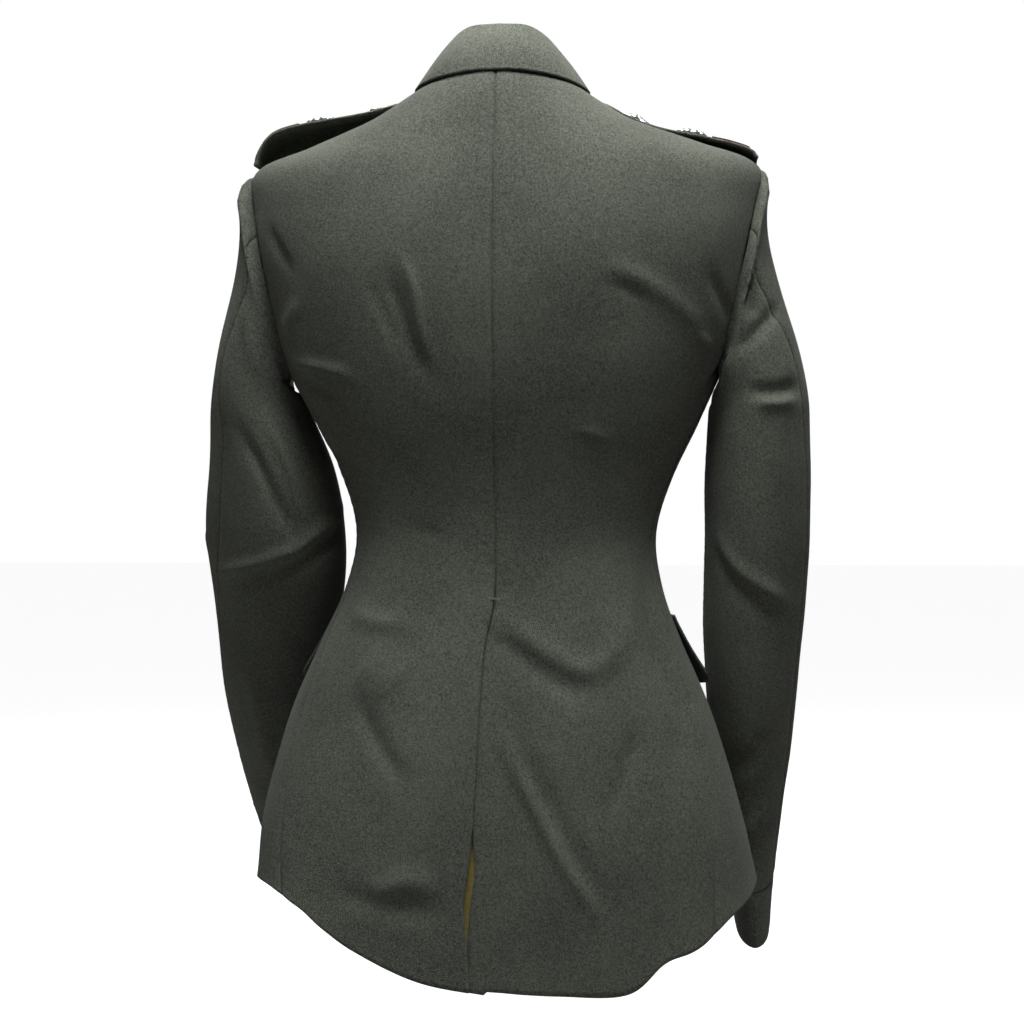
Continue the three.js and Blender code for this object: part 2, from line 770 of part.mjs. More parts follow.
function pip(side) {
  const place = (u, v) => [
    ORNAMENT.pip + ORNAMENT.radius * (u + v - 1),
    ORNAMENT.radius * (u - v),
  ];
  const tall = (u, v) => {
    const edge = 2 * Math.max(Math.abs(u - 0.5), Math.abs(v - 0.5));
    return ORNAMENT.rim + (ORNAMENT.tall - ORNAMENT.rim) * (1 - edge);
  };
  return raised(side, place, tall, 4, 4);
}

function rosette(side) {
  const place = (u, v) => {
    const a = 2 * u - 1;
    const b = 2 * v - 1;
    const x = a * Math.sqrt(1 - (b * b) / 2);
    const y = b * Math.sqrt(1 - (a * a) / 2);
    return [ORNAMENT.rosette + ORNAMENT.radius * x, ORNAMENT.radius * y];
  };
  const tall = (u, v) => {
    const edge = Math.max(Math.abs(2 * u - 1), Math.abs(2 * v - 1));
    return ORNAMENT.rim + (ORNAMENT.tall - ORNAMENT.rim) * (1 - edge * edge);
  };
  return raised(side, place, tall, 5, 5);
}

function tab(side) {
  const place = (u, v) => [lerp(TAB.from, TAB.to, u), TAB.wide * (v - 0.5)];
  return raised(side, place, () => TAB.thick, 8, 3, 2 * LAY);
}

// Hip pocket flaps
function flap(side) {
  const stand = side > 0 ? FLAP.standLeft : FLAP.standRight;
  const place = (u, v) => ({
    angle: side * lerp(FLAP.rear, FLAP.front, u),
    station: lerp(FLAP.top, FLAP.bottom, v),
  });
  const surface = (u, v) => {
    const spot = place(u, v);
    const away = stand * v ** 1.6 * lerp(1, 0.35, smooth(u, 0, 0.6));
    return torsoOut(spot.angle, spot.station, LAY + 0.6 + CLOTH + away);
  };
  const normal = (u, v) => {
    const spot = place(u, v);
    return torsoNormal(spot.angle, spot.station);
  };
  return wall(surface, normal, 6, 3, CLOTH);
}

for (const [word, side] of [
  ["left", 1],
  ["right", -1],
]) {
  add(`shoulder_strap_${word}`, strap(side), WOOL);
  add(`strap_pip_${word}`, pip(side), SILVER);
  add(`strap_rosette_${word}`, rosette(side), SILVER);
  add(`strap_tab_${word}`, tab(side), RED);
  add(`hip_flap_${word}`, flap(side), WOOL);
}

// Strip of lining behind the vent
const lining = (u, v) => {
  const station = lerp(VENT_LINING.bottom, VENT_LINING.top, v);
  const x = ventLap(station) + lerp(VENT_LINING.right, VENT_LINING.left, u);
  return { angle: angleAtX(x, station, false), station };
};
add(
  "vent_lining",
  wall(
    (u, v) => {
      const spot = lining(u, v);
      return torsoOut(spot.angle, spot.station, -(SUNK + CLOTH + 3 * LAY));
    },
    (u, v) => {
      const spot = lining(u, v);
      return torsoNormal(spot.angle, spot.station);
    },
    3,
    8,
    LINING
  ),
  OLIVE
);

// Front buttons: a domed disc on the left front, on the centre line
const dome = [
  [0, 0],
  [BUTTON_RADIUS - 1, 0],
  [BUTTON_RADIUS, 1],
  [BUTTON_RADIUS - 1.2, 2.6],
  [BUTTON_RADIUS * 0.55, BUTTON_TALL - 0.8],
  [0, BUTTON_TALL],
].map(([radius, height]) => new THREE.Vector2(radius, height));

BUTTON_STATIONS.forEach((station, i) => {
  const angle = angleAtX(BUTTON_X, station, true);
  const mesh = add(`front_button_${i + 1}`, new THREE.LatheGeometry(dome, 14), SILVER);
  const out = torsoNormal(angle, station);
  mesh.position.copy(torsoOut(angle, station, LAY / 3));
  mesh.quaternion.setFromUnitVectors(new THREE.Vector3(0, 1, 0), out);
});

export default tunic;
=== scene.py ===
"""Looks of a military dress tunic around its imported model, laid out as an add-on."""
import math

import bmesh
import bpy
import numpy as np
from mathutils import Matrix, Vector


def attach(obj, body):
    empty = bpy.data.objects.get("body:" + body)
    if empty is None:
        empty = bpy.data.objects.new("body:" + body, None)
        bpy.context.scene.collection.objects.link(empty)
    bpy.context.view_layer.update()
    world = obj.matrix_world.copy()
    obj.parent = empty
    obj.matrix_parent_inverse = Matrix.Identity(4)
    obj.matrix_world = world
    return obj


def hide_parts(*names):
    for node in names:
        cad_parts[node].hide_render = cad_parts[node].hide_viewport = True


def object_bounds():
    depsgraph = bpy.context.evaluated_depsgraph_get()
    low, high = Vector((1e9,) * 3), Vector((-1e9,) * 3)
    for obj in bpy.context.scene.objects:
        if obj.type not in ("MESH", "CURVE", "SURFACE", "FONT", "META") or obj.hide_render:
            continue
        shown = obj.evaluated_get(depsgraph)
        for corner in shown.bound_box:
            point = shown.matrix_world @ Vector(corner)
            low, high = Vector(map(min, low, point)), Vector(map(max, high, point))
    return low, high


bl_info = {
    "name": "Military dress tunic",
    "version": (1, 0, 0),
    "blender": (4, 5, 0),
    "location": "View3D > Sidebar > Tunic",
    "description": "Builds a woollen dress tunic from its cut pieces",
    "category": "Object",
}

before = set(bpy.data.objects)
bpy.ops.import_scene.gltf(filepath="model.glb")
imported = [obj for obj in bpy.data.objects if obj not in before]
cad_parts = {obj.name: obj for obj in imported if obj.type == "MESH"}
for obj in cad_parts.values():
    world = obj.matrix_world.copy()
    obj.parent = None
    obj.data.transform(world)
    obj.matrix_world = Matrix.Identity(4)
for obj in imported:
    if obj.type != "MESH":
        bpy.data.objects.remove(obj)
CAD_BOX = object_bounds()

# ---------------------------------------------------------------- sizes of the cut, in mm
MM = 0.001
CLOTH = 2.0
# room between two cloths that lie on each other
LAY = 0.3
STRAP_WALL = 2.4
# how far the fronts lap past the centre
LAP = 20.0
CUFF_DEEP = 52.0
# stations of the body: row numbers of its table of sections, from the hem up
UNDERARM = 8.0
SHOULDER_TIP = 12.0
NECK = 16.0
BREAK = 9.2


def table(names, rows):
    """A table of numbers as named columns."""
    values = np.array(rows, float)
    return {name: values[:, i] for i, name in enumerate(names.split())}


TORSO = table(
    "yBack zBack xLeft xRight ySide zLeft zRight yFront zFront fullBack fullFront seam",
    [
        [150, -748, 205, 214, 34, -700, -700, -150, -726, 0.09, -0.1, 50],
        [138, -655, 199, 203, 32, -620, -628, -146, -642, 0.09, -0.09, 54],
        [122, -565, 181, 181, 28, -545, -548, -140, -558, 0.08, -0.07, 59],
        [102, -485, 155, 153, 20, -480, -480, -132, -484, 0.07, -0.05, 65],
        [88, -432, 134, 136, 12, -432, -432, -124, -432, 0.06, -0.02, 70],
        [81, -388, 127, 131, 7, -388, -388, -120, -386, 0.05, 0, 74],
        [87, -340, 140, 145, 3, -340, -340, -127, -338, 0.05, 0.01, 77],
        [99, -292, 163, 167, 0, -294, -294, -138, -290, 0.06, 0.02, 80],
        [107, -248, 186, 186, -3, -252, -252, -143, -246, 0.06, 0.03, 82],
        [111, -204, 203, 203, -4, -206, -206, -142, -204, 0.06, 0.03, 84],
        [112, -160, 214, 214, -5, -160, -160, -135, -164, 0.06, 0.03, 86],
        [109, -122, 220, 220, -6, -116, -116, -121, -128, 0.05, 0.02, 88],
        [103, -88, 218.5, 218.5, -6, -75.5, -77, -103, -98, 0.03, 0, 90],
        [96, -60, 178, 178, -6, -58.5, -59.5, -88, -74, 0.01, 0, 90],
        [88, -33, 128, 128, -5, -41.5, -45, -76, -56, 0, 0, 90],
        [78, -9, 98, 98, -4, -27, -31.5, -67, -44, 0, 0, 90],
        [64, 6, 72, 72, -3, -11, -14.5, -59, -34, 0, 0, 90],
    ],
)
HEM = table(
    "angle left right",
    [
        [0, -747, -744],
        [15, -738, -746],
        [29, -717, -745],
        [37, -701, -722],
        [45, -685, -713],
        [60, -673, -688],
        [90, -678, -674],
        [125, -688, -706],
        [180, -727, -727],
    ],
)
HEM_FADE = 1.7
VENT = table(
    "station lap under",
    [
        [0, 14, 2],
        [0.35, 16, -1],
        [0.7, 19.3, -6],
        [1.1, 15.5, -5],
        [1.6, 12.5, 6],
        [2.3, 10.5, 16],
        [3.1, 7, 10],
        [3.5, 3, -0.6],
        [3.8, 0.2, -0.5],
    ],
)
VENT_TOP = 3.8
# how deep an underlap lies
SUNK = CLOTH + LAY + 0.7
# the lining runs on a little below the gape, in stations
LINING_TAIL = 0.16
VENT_LINING = {"bottom": 0.38, "top": 2.9, "right": -24, "left": 16}
SLEEVE_COLUMNS = "x y z half deep turn hind fore"
SLEEVES = {
    1: table(
        SLEEVE_COLUMNS,
        [
            [219.5, -15, -285, 43.5, 63, 12, 44, 212],
            [209.5, -21, -345, 56, 71, 30, 17, 202],
            [208, -32, -400, 58, 76, 40, 2, 195],
            [214, -64, -462, 54.5, 68, 36, -4, 192],
            [225, -102, -530, 47, 61, 30, -2, 192],
            [231, -143, -596, 38, 58, 24, 0, 193],
            [229, -176, -652, 33, 57, 20, 5, 195],
            [224, -203, -696, 28, 57, 18, 5, 195],
        ],
    ),
    -1: table(
        SLEEVE_COLUMNS,
        [
            [218.5, -15, -285, 43, 63, 0, 34, 196],
            [217.5, -14, -345, 45, 62, 0, 26, 184],
            [217, -16, -400, 45, 61, 0, 25, 180],
            [214, -24, -470, 42.5, 60, 0, 27, 174],
            [213, -38, -545, 37.5, 60, 0, 30, 168],
            [212.5, -58, -615, 30, 61, 0, 32, 164],
            [214, -74, -685, 21, 62, 0, 32, 162],
            [216, -82, -738, 15, 62, 0, 32, 162],
        ],
    ),
}
# the sleeve head: how far it stands out and drops, and the shares of the sleeve it takes
HEAD_OUT = {1: 12.0, -1: 6.5}
HEAD_DOWN = 13.0
HEAD_SHARE = 0.07
BLEND_SHARE = 0.36
# degrees by which the hind seam climbs at the armhole
HIND_RISE = 17.0
ARMHOLE_BACK = 18.0
ARMHOLE_FRONT = 33.0
COLLAR = table(
    "angle xFold yFold zFold station lift",
    [
        [0, 0, 55, 36.5, 15.05, 3],
        [30, 27, 49, 35.5, 15.15, 3],
        [60, 46, 27, 25, 15.6, 3],
        [90, 51, -5, 8, 15.98, 3],
        [112, 58, -26, -6, 15.3, 3.4],
        [127, 62, -37, -17, 13.9, 3.4],
    ],
)
COLLAR_END = 127.0
STAND_END = 100.0
# how far the front edge of a bowed strap sinks towards the shoulder
STRAP_DROOP = {1: 13.0, -1: 5.0}
STRAPS = {
    1: table(
        "x lift",
        [
            [83, 3.5],
            [91, 6],
            [104, 9.5],
            [123, 14.5],
            [142, 18.5],
            [160, 21.5],
            [177, 24.5],
            [190, 25.5],
            [201, 24],
            [209, 19],
            [214.5, 12],
            [216.8, 5],
        ],
    ),
    -1: table(
        "x lift",
        [
            [83, 4.6],
            [91, 4.8],
            [104, 4.6],
            [123, 4.4],
            [142, 4.6],
            [160, 5.8],
            [177, 7],
            [189, 8],
            [199, 8],
            [208, 8],
            [214, 7.5],
            [216.8, 5.6],
        ],
    ),
}
STRAP_WIDE = 46.0
STRAP_NARROW = 38.0
STRAP_CROWN = 0.8
STRAP_MIDDLE = -5.0
ORNAMENT = {"pip": 112.0, "rosette": 160.0, "radius": 14.0, "rear": 5.0, "rim": 1.4}
TAB = {"from": 178.0, "to": 209.0, "wide": 34.0, "thick": 1.2}
FLAP = {"rear": 94, "front": 134, "top": 3.4, "bottom": 2.4, "stand": {1: 5.0, -1: 7.0}}
BUTTON_X = -3.0
BUTTON_STATIONS = [8.9, 7.35, 5.85, 4.35]
LAPEL_TIP = {"station": 12.5, "x": 126.0}
LAPEL_FOOT = 0.22
LAPEL_TOP = 0.93
# rows of a panel along its side seam, its armhole and its shoulder
SIDE_ROWS = 10
ARM_ROWS = 8
SHOULDER_ROWS = 5
PANEL_ROWS = SIDE_ROWS + ARM_ROWS + SHOULDER_ROWS


# ---------------------------------------------------------------- surfaces of the worn form
def smooth(value, low, high):
    """Eases from 0 at low to 1 at high."""
    s = np.clip((np.asarray(value, float) - low) / (high - low), 0, 1)
    return s * s * (3 - 2 * s)


def mix(a, b, s):
    """The value a share s of the way from a to b."""
    return a + (b - a) * s


def column(rows, name, at):
    """Smooth value of one column between the rows of a table, at row number at."""
    values = rows[name]
    last = len(values) - 1
    place = np.clip(np.asarray(at, float), 0, last)
    i = np.minimum(np.floor(place).astype(int), last - 1)
    s = place - i
    a, b = values[i], values[i + 1]
    before = values[np.maximum(i - 1, 0)]
    after = values[np.minimum(i + 2, last)]
    slope_a = np.where(i == 0, b - a, (b - before) / 2)
    slope_b = np.where(i + 1 == last, b - a, (after - a) / 2)
    s2, s3 = s * s, s * s * s
    start = (2 * s3 - 3 * s2 + 1) * a + (s3 - 2 * s2 + s) * slope_a
    return start + (3 * s2 - 2 * s3) * b + (s3 - s2) * slope_b


def solve(value, wanted, low, high, steps=32):
    """Where a rising function reaches the wanted values."""
    wanted = np.asarray(wanted, float)
    low = np.full(wanted.shape, float(low))
    high = np.full(wanted.shape, float(high))
    for _ in range(steps):
        middle = (low + high) / 2
        below = value(middle) < wanted
        low = np.where(below, middle, low)
        high = np.where(below, high, middle)
    return low


def row_at(rows, name, wanted):
    """Row number at which a column has the wanted value."""
    return solve(lambda at: column(rows, name, at), wanted, 0, len(rows[name]) - 1)


def torso_flat(angle, station):
    """x and y of the body's section, and the angle folded into one turn."""
    angle, station = np.broadcast_arrays(np.asarray(angle, float), station)
    turned = (angle + 180) % 360 - 180
    turned = np.where((turned == -180) & (angle > 0), 180, turned)
    left = turned >= 0
    a = np.radians(np.abs(turned))
    behind = np.abs(turned) <= 90

    def get(name):
        return column(TORSO, name, station)

    full = np.where(behind, get("fullBack"), get("fullFront"))
    swell = 1 + full * np.sin(2 * a) ** 2
    x = np.where(left, get("xLeft"), get("xRight")) * np.sin(a) * swell
    deep = np.where(behind, get("yBack"), get("yFront")) - get("ySide")
    y = get("ySide") + deep * np.abs(np.cos(a)) * swell
    return np.where(left, x, -x), y, turned


def torso(angle, station):
    """A point of the body: 0 is the centre back, 90 the left side, 180 the centre front."""
    x, y, turned = torso_flat(angle, station)
    station = np.broadcast_to(station, x.shape)

    def get(name):
        return column(TORSO, name, station)

    left = turned >= 0
    side = np.where(left, get("zLeft"), get("zRight"))
    end = np.where(np.abs(turned) <= 90, get("zBack"), get("zFront"))
    share = np.sin(np.radians(turned)) ** 2
    z = end + (side - end) * share
    at = row_at(HEM, "angle", np.abs(turned))
    hem = np.where(left, column(HEM, "left", at), column(HEM, "right", at))
    side0 = np.where(left, TORSO["zLeft"][0], TORSO["zRight"][0])
    end0 = np.where(np.abs(turned) <= 90, TORSO["zBack"][0], TORSO["zFront"][0])
    base = end0 + (side0 - end0) * share
    z = z + (hem - base) * np.clip(1 - station / HEM_FADE, 0, 1) ** 2
    return np.stack([x, y, z], -1)


def unit(v):
    """The same directions, one long."""
    return v / np.maximum(np.linalg.norm(v, axis=-1, keepdims=True), 1e-9)


def torso_normal(angle, station):
    """Direction out of the body."""
    station = np.asarray(station, float)
    low = np.maximum(station - 0.05, 0)
    high = np.minimum(station + 0.05, NECK)
    around = torso(np.asarray(angle) + 1, station) - torso(np.asarray(angle) - 1, station)
    up = torso(angle, high) - torso(angle, low)
    return unit(np.cross(up, around))


def torso_out(angle, station, out):
    """A point some way out of the body."""
    return torso(angle, station) + torso_normal(angle, station) * np.asarray(out)[..., None]


def angle_at_x(x, station, front):
    """Angle of section at which the back or the front has a given x."""

    def x_at(a):
        turned = np.where(a > 0, 180 - a, -180 - a) if front else a
        return torso_flat(turned, station)[0]

    x = np.broadcast_to(np.asarray(x, float), np.shape(station))
    found = solve(x_at, x, -90, 90)
    return 180 - found if front else found


def armhole(around):
    """Angle and station of the armhole: 0 is its top, 90 its back."""
    a = np.radians(around)
    middle = (SHOULDER_TIP + UNDERARM) / 2
    station = middle + (SHOULDER_TIP - UNDERARM) / 2 * np.cos(a)
    across = np.sin(a)
    opened = np.where(across >= 0, ARMHOLE_BACK, ARMHOLE_FRONT)
    return column(TORSO, "seam", station) - opened * across, station


def outer_edge(r, back):
    """Angle and station of the edge that a back or front shares with its neighbours."""
    r = np.asarray(r, float)
    share = np.clip((r - SIDE_ROWS) / ARM_ROWS, 0, 1)
    arm_angle, arm_station = armhole(180 - 180 * share if back else 180 + 180 * share)
    side_station = UNDERARM * np.minimum(r, SIDE_ROWS) / SIDE_ROWS
    over = np.clip((r - SIDE_ROWS - ARM_ROWS) / SHOULDER_ROWS, 0, 1)
    angle = np.where(r <= SIDE_ROWS, column(TORSO, "seam", side_station), arm_angle)
    station = np.where(r <= SIDE_ROWS, side_station, arm_station)
    top = r > SIDE_ROWS + ARM_ROWS
    return np.where(top, 90, angle), np.where(top, mix(SHOULDER_TIP, NECK, over), station)


def centre_station(r):
    """Station of a panel row at the centre of the back or front."""
    underarm = UNDERARM - 0.4
    tip = SHOULDER_TIP + 0.2
    knots = [0, SIDE_ROWS, SIDE_ROWS + ARM_ROWS, PANEL_ROWS]
    return np.interp(r, knots, [0, underarm, tip, NECK])


def gap_angle(angle, station, gap):
    """The turn about the body that takes up half a seam gap."""
    step = np.linalg.norm(torso(np.asarray(angle) + 1, station) - torso(angle, station), axis=-1)
    return gap / 2 / step


def vent_lap(station):
    """How far the left back laps past the centre."""
    return column(VENT, "lap", row_at(VENT, "station", station))


def vent_under(station):
    """Where the right back ends under the lap."""
    return vent_lap(station) + column(VENT, "under", row_at(VENT, "station", station))


def back_sink(angle, station):
    """How deep the right back lies under the left one along the vent."""
    lap = vent_lap(station)
    x = torso_flat(angle, station)[0]
    ease = 1 - smooth(station, VENT_TOP, VENT_TOP + 0.8)
    return SUNK * ease * smooth((x - lap) / 25.0, -1.8, -0.8)


def front_sink(angle, station):
    """How deep the right front lies under the left one."""
    x = torso_flat(angle, station)[0]
    return (SUNK + 0.6) * smooth(x, -LAP - 50, -LAP - 22) * (1 - smooth(station, 10.6, 12))


def roll_line(share, side):
    """Angle and station of the line on which a lapel turns back."""
    station = mix(BREAK, NECK, share)
    x = mix(-LAP, 68, np.asarray(share) ** 0.95)
    return side * angle_at_x(x, station, True), station


def front_edge(r, side):
    """Edge of a front: straight below the break, then the roll line."""
    r = np.asarray(r, float)
    break_row = SIDE_ROWS + 3
    low = centre_station(np.minimum(r, SIDE_ROWS))
    rise = mix(centre_station(SIDE_ROWS), BREAK, (r - SIDE_ROWS) / 3)
    station = np.where(r <= SIDE_ROWS, low, np.minimum(rise, BREAK))
    straight = side * angle_at_x(-LAP, station, True)
    share = np.clip((r - break_row) / (PANEL_ROWS - break_row), 0, 1)
    rolled, rolled_station = roll_line(share, side)
    below = r <= break_row
    return np.where(below, straight, rolled), np.where(below, station, rolled_station)


def panel_rows(parts):
    """Row numbers of a panel's grid, closer together along the long side seam."""
    side, arm, shoulder = parts
    return np.concatenate(
        [
            np.linspace(0, SIDE_ROWS, side, endpoint=False),
            np.linspace(SIDE_ROWS, SIDE_ROWS + ARM_ROWS, arm, endpoint=False),
            np.linspace(SIDE_ROWS + ARM_ROWS, PANEL_ROWS, shoulder),
        ]
    )


def back_grid(side, rows, columns, gap=0.3):
    """Angles and stations over one back, from the centre seam to the side."""
    station = centre_station(rows)
    start = side * gap_angle(0, station, gap)
    edge = vent_lap(station) if side > 0 else vent_under(station)
    start = np.where(station < VENT_TOP, angle_at_x(edge, station, False), start)
    outer, outer_station = outer_edge(rows, True)
    end = side * (outer - gap_angle(outer, outer_station, gap))
    u = columns[None, :]
    return mix(start[:, None], end[:, None], u), mix(station[:, None], outer_station[:, None], u)


def front_grid(side, rows, columns, gap=0.3):
    """Angles and stations over one front, from the side to the front edge."""
    outer, outer_station = outer_edge(rows, False)
    start = side * (outer + gap_angle(outer, outer_station, gap))
    front, front_station = front_edge(rows, side)
    u = columns[None, :]
    return mix(start[:, None], front[:, None], u), mix(
        outer_station[:, None], front_station[:, None], u
    )


def collar_fold(angle):
    """The top edge of the collar."""
    at = row_at(COLLAR, "angle", np.abs(angle))
    x = column(COLLAR, "xFold", at) * np.sign(angle)
    return np.stack([x, column(COLLAR, "yFold", at), column(COLLAR, "zFold", at)], -1)


def outward_flat(points):
    """Level direction from the neck axis to the points."""
    flat = points.copy()
    flat[..., 2] = 0
    return unit(flat)


def collar_fall(angle, v):
    """The fall from the fold line (0) to its lower edge (1)."""
    angle, v = np.broadcast_arrays(np.asarray(angle, float), v)
    at = row_at(COLLAR, "angle", np.abs(angle))
    fold = collar_fold(angle)
    edge = torso_out(angle, column(COLLAR, "station", at), column(COLLAR, "lift", at))
    point = mix(fold, edge, v[..., None])
    bulge = mix(3.5, 1, smooth(np.abs(angle), 20, 60)) * np.sin(np.pi * v)
    point = point + outward_flat(point) * bulge[..., None]
    point[..., 2] += 0.6 * bulge
    return point


def ring(rows, side, around, at):
    """A point of the sleeve below its head, from the table of its sections."""

    def get(name):
        return column(rows, name, at)

    def middle(k):
        return np.stack([column(rows, n, k) for n in "xyz"], -1)

    a = np.radians(around)
    turn = np.radians(get("turn"))
    step = 0.05
    down = unit(middle(at + step) - middle(at - step))
    outward = np.stack([np.cos(turn), np.sin(turn), 0 * turn], -1)
    outward = unit(outward - down * np.sum(outward * down, -1, keepdims=True))
    backward = unit(np.cross(outward, down))
    point = (
        middle(at)
        + outward * (get("half") * np.cos(a))[..., None]
        + backward * (get("deep") * np.sin(a))[..., None]
    )
    point[..., 0] *= side
    return point


def hermite(start, leave, to, arrive, s):
    """A curve with a given place and direction at both ends."""
    s = s[..., None]
    s2, s3 = s * s, s * s * s
    return (
        start * (2 * s3 - 3 * s2 + 1)
        + leave * (s3 - 2 * s2 + s)
        + to * (3 * s2 - 2 * s3)
        + arrive * (s3 - s2)
    )


def sleeve_point(side, around, share):
    """A point of a sleeve; share runs from the armhole (0) to the cuff's end (1)."""
    around, share = np.broadcast_arrays(np.asarray(around, float), share)
    rows = SLEEVES[side]
    a = np.radians(around)
    top = (1 + np.cos(a)) / 2
    angle, station = armhole(around)
    seam = torso(side * angle, station)
    fore = np.where(np.sin(a) < 0, 1.0, 0.0)
    zero = 0 * a
    begin = seam + np.stack([side * mix(1.5, 0.8, top), zero, mix(-1, 0.1, top)], -1)
    out = mix(4.5, HEAD_OUT[side], top**0.6)
    head = seam + np.stack(
        [side * out, np.sin(a) * mix(4, 1, fore), -mix(10, HEAD_DOWN, top)], -1
    )
    leave = np.stack([side * out * 1.5, zero, -mix(12, 2, top)], -1)
    arrive = np.stack([zero, zero, -mix(10, 20, top)], -1)
    near = hermite(begin, leave, head, arrive, np.clip(share / HEAD_SHARE, 0, 1))
    first = ring(rows, side, around, zero)
    s = np.clip((share - HEAD_SHARE) / (BLEND_SHARE - HEAD_SHARE), 0, 1)
    far = np.linalg.norm(head - first, axis=-1)
    arrive = unit(ring(rows, side, around, zero + 0.1) - first) * far[..., None]
    leave = np.stack([-0.16 * far * side, zero, -far], -1)
    upper = hermite(head, leave, first, arrive, s)
    last = len(rows["x"]) - 1
    at = last * np.clip((share - BLEND_SHARE) / (1 - BLEND_SHARE), 0, 1)
    lower = ring(rows, side, around, at)
    pick = share[..., None]
    return np.where(pick < HEAD_SHARE, near, np.where(pick < BLEND_SHARE, upper, lower))


def sleeve_seam(side, name, share):
    """Angle of the hind or fore seam along the sleeve."""
    rows = SLEEVES[side]
    start = 90 if name == "hind" else 247.5
    high = mix(start, rows[name][0], smooth(share, 0, BLEND_SHARE))
    if name == "hind":
        high = high - HIND_RISE * (1 - smooth(share, 0, 2 * HEAD_SHARE))
    at = (len(rows["x"]) - 1) * (share - BLEND_SHARE) / (1 - BLEND_SHARE)
    return np.where(share < BLEND_SHARE, high, column(rows, name, at))


def cuff_share(side):
    """Share of the sleeve at which its cuff begins."""

    def middle(s):
        return (sleeve_point(side, 0, s) + sleeve_point(side, 180, s)) / 2

    length, share = 0.0, 1.0
    while length < CUFF_DEEP:
        length += np.linalg.norm(middle(share) - middle(share - 0.005))
        share -= 0.005
    return share


def sleeve_grid(side, name, share, columns):
    """Angles round one piece of a sleeve at each share of its length."""
    hind, fore = sleeve_seam(side, "hind", share), sleeve_seam(side, "fore", share)

    def step(a):
        ahead = sleeve_point(side, a + 1, share) - sleeve_point(side, a, share)
        return np.linalg.norm(ahead, axis=-1)

    gap_hind, gap_fore = 0.15 / step(hind), 0.15 / step(fore)
    if name == "top":
        low, high = fore - 360 + gap_fore, hind - gap_hind
    else:
        low, high = hind + gap_hind, fore - gap_fore
    u = columns[None, :]
    around = mix(low[:, None], high[:, None], u)
    return around, np.broadcast_to(share[:, None], around.shape)


def ridge_height(side, x):
    """Height of the shoulder line."""
    x = np.asarray(x, float)

    def far(s):
        return -np.abs(torso_flat(side * 90, s)[0])

    station = solve(far, -x, SHOULDER_TIP, NECK)
    return torso(np.full(x.shape, side * 90.0), station)[..., 2]


def strap_point(side, x, y):
    """A point of a strap: x out along the shoulder, y across it."""
    x, y = np.broadcast_arrays(np.asarray(x, float), y)
    rows = STRAPS[side]
    lift = column(rows, "lift", row_at(rows, "x", x))
    drop = STRAP_CROWN * (y / (STRAP_WIDE / 2)) ** 2
    drop = drop + STRAP_DROOP[side] * smooth(lift, 3.5, 7) * smooth(-y, -2, STRAP_WIDE / 2)
    return np.stack([side * x, STRAP_MIDDLE + y, ridge_height(side, x) + lift - drop], -1)


def strap_normal(side, x, y):
    """Direction up out of a strap."""
    along = strap_point(side, x + 0.4, y) - strap_point(side, x - 0.4, y)
    across = strap_point(side, x, y + 1) - strap_point(side, x, y - 1)
    return unit(np.cross(along, across)) * side


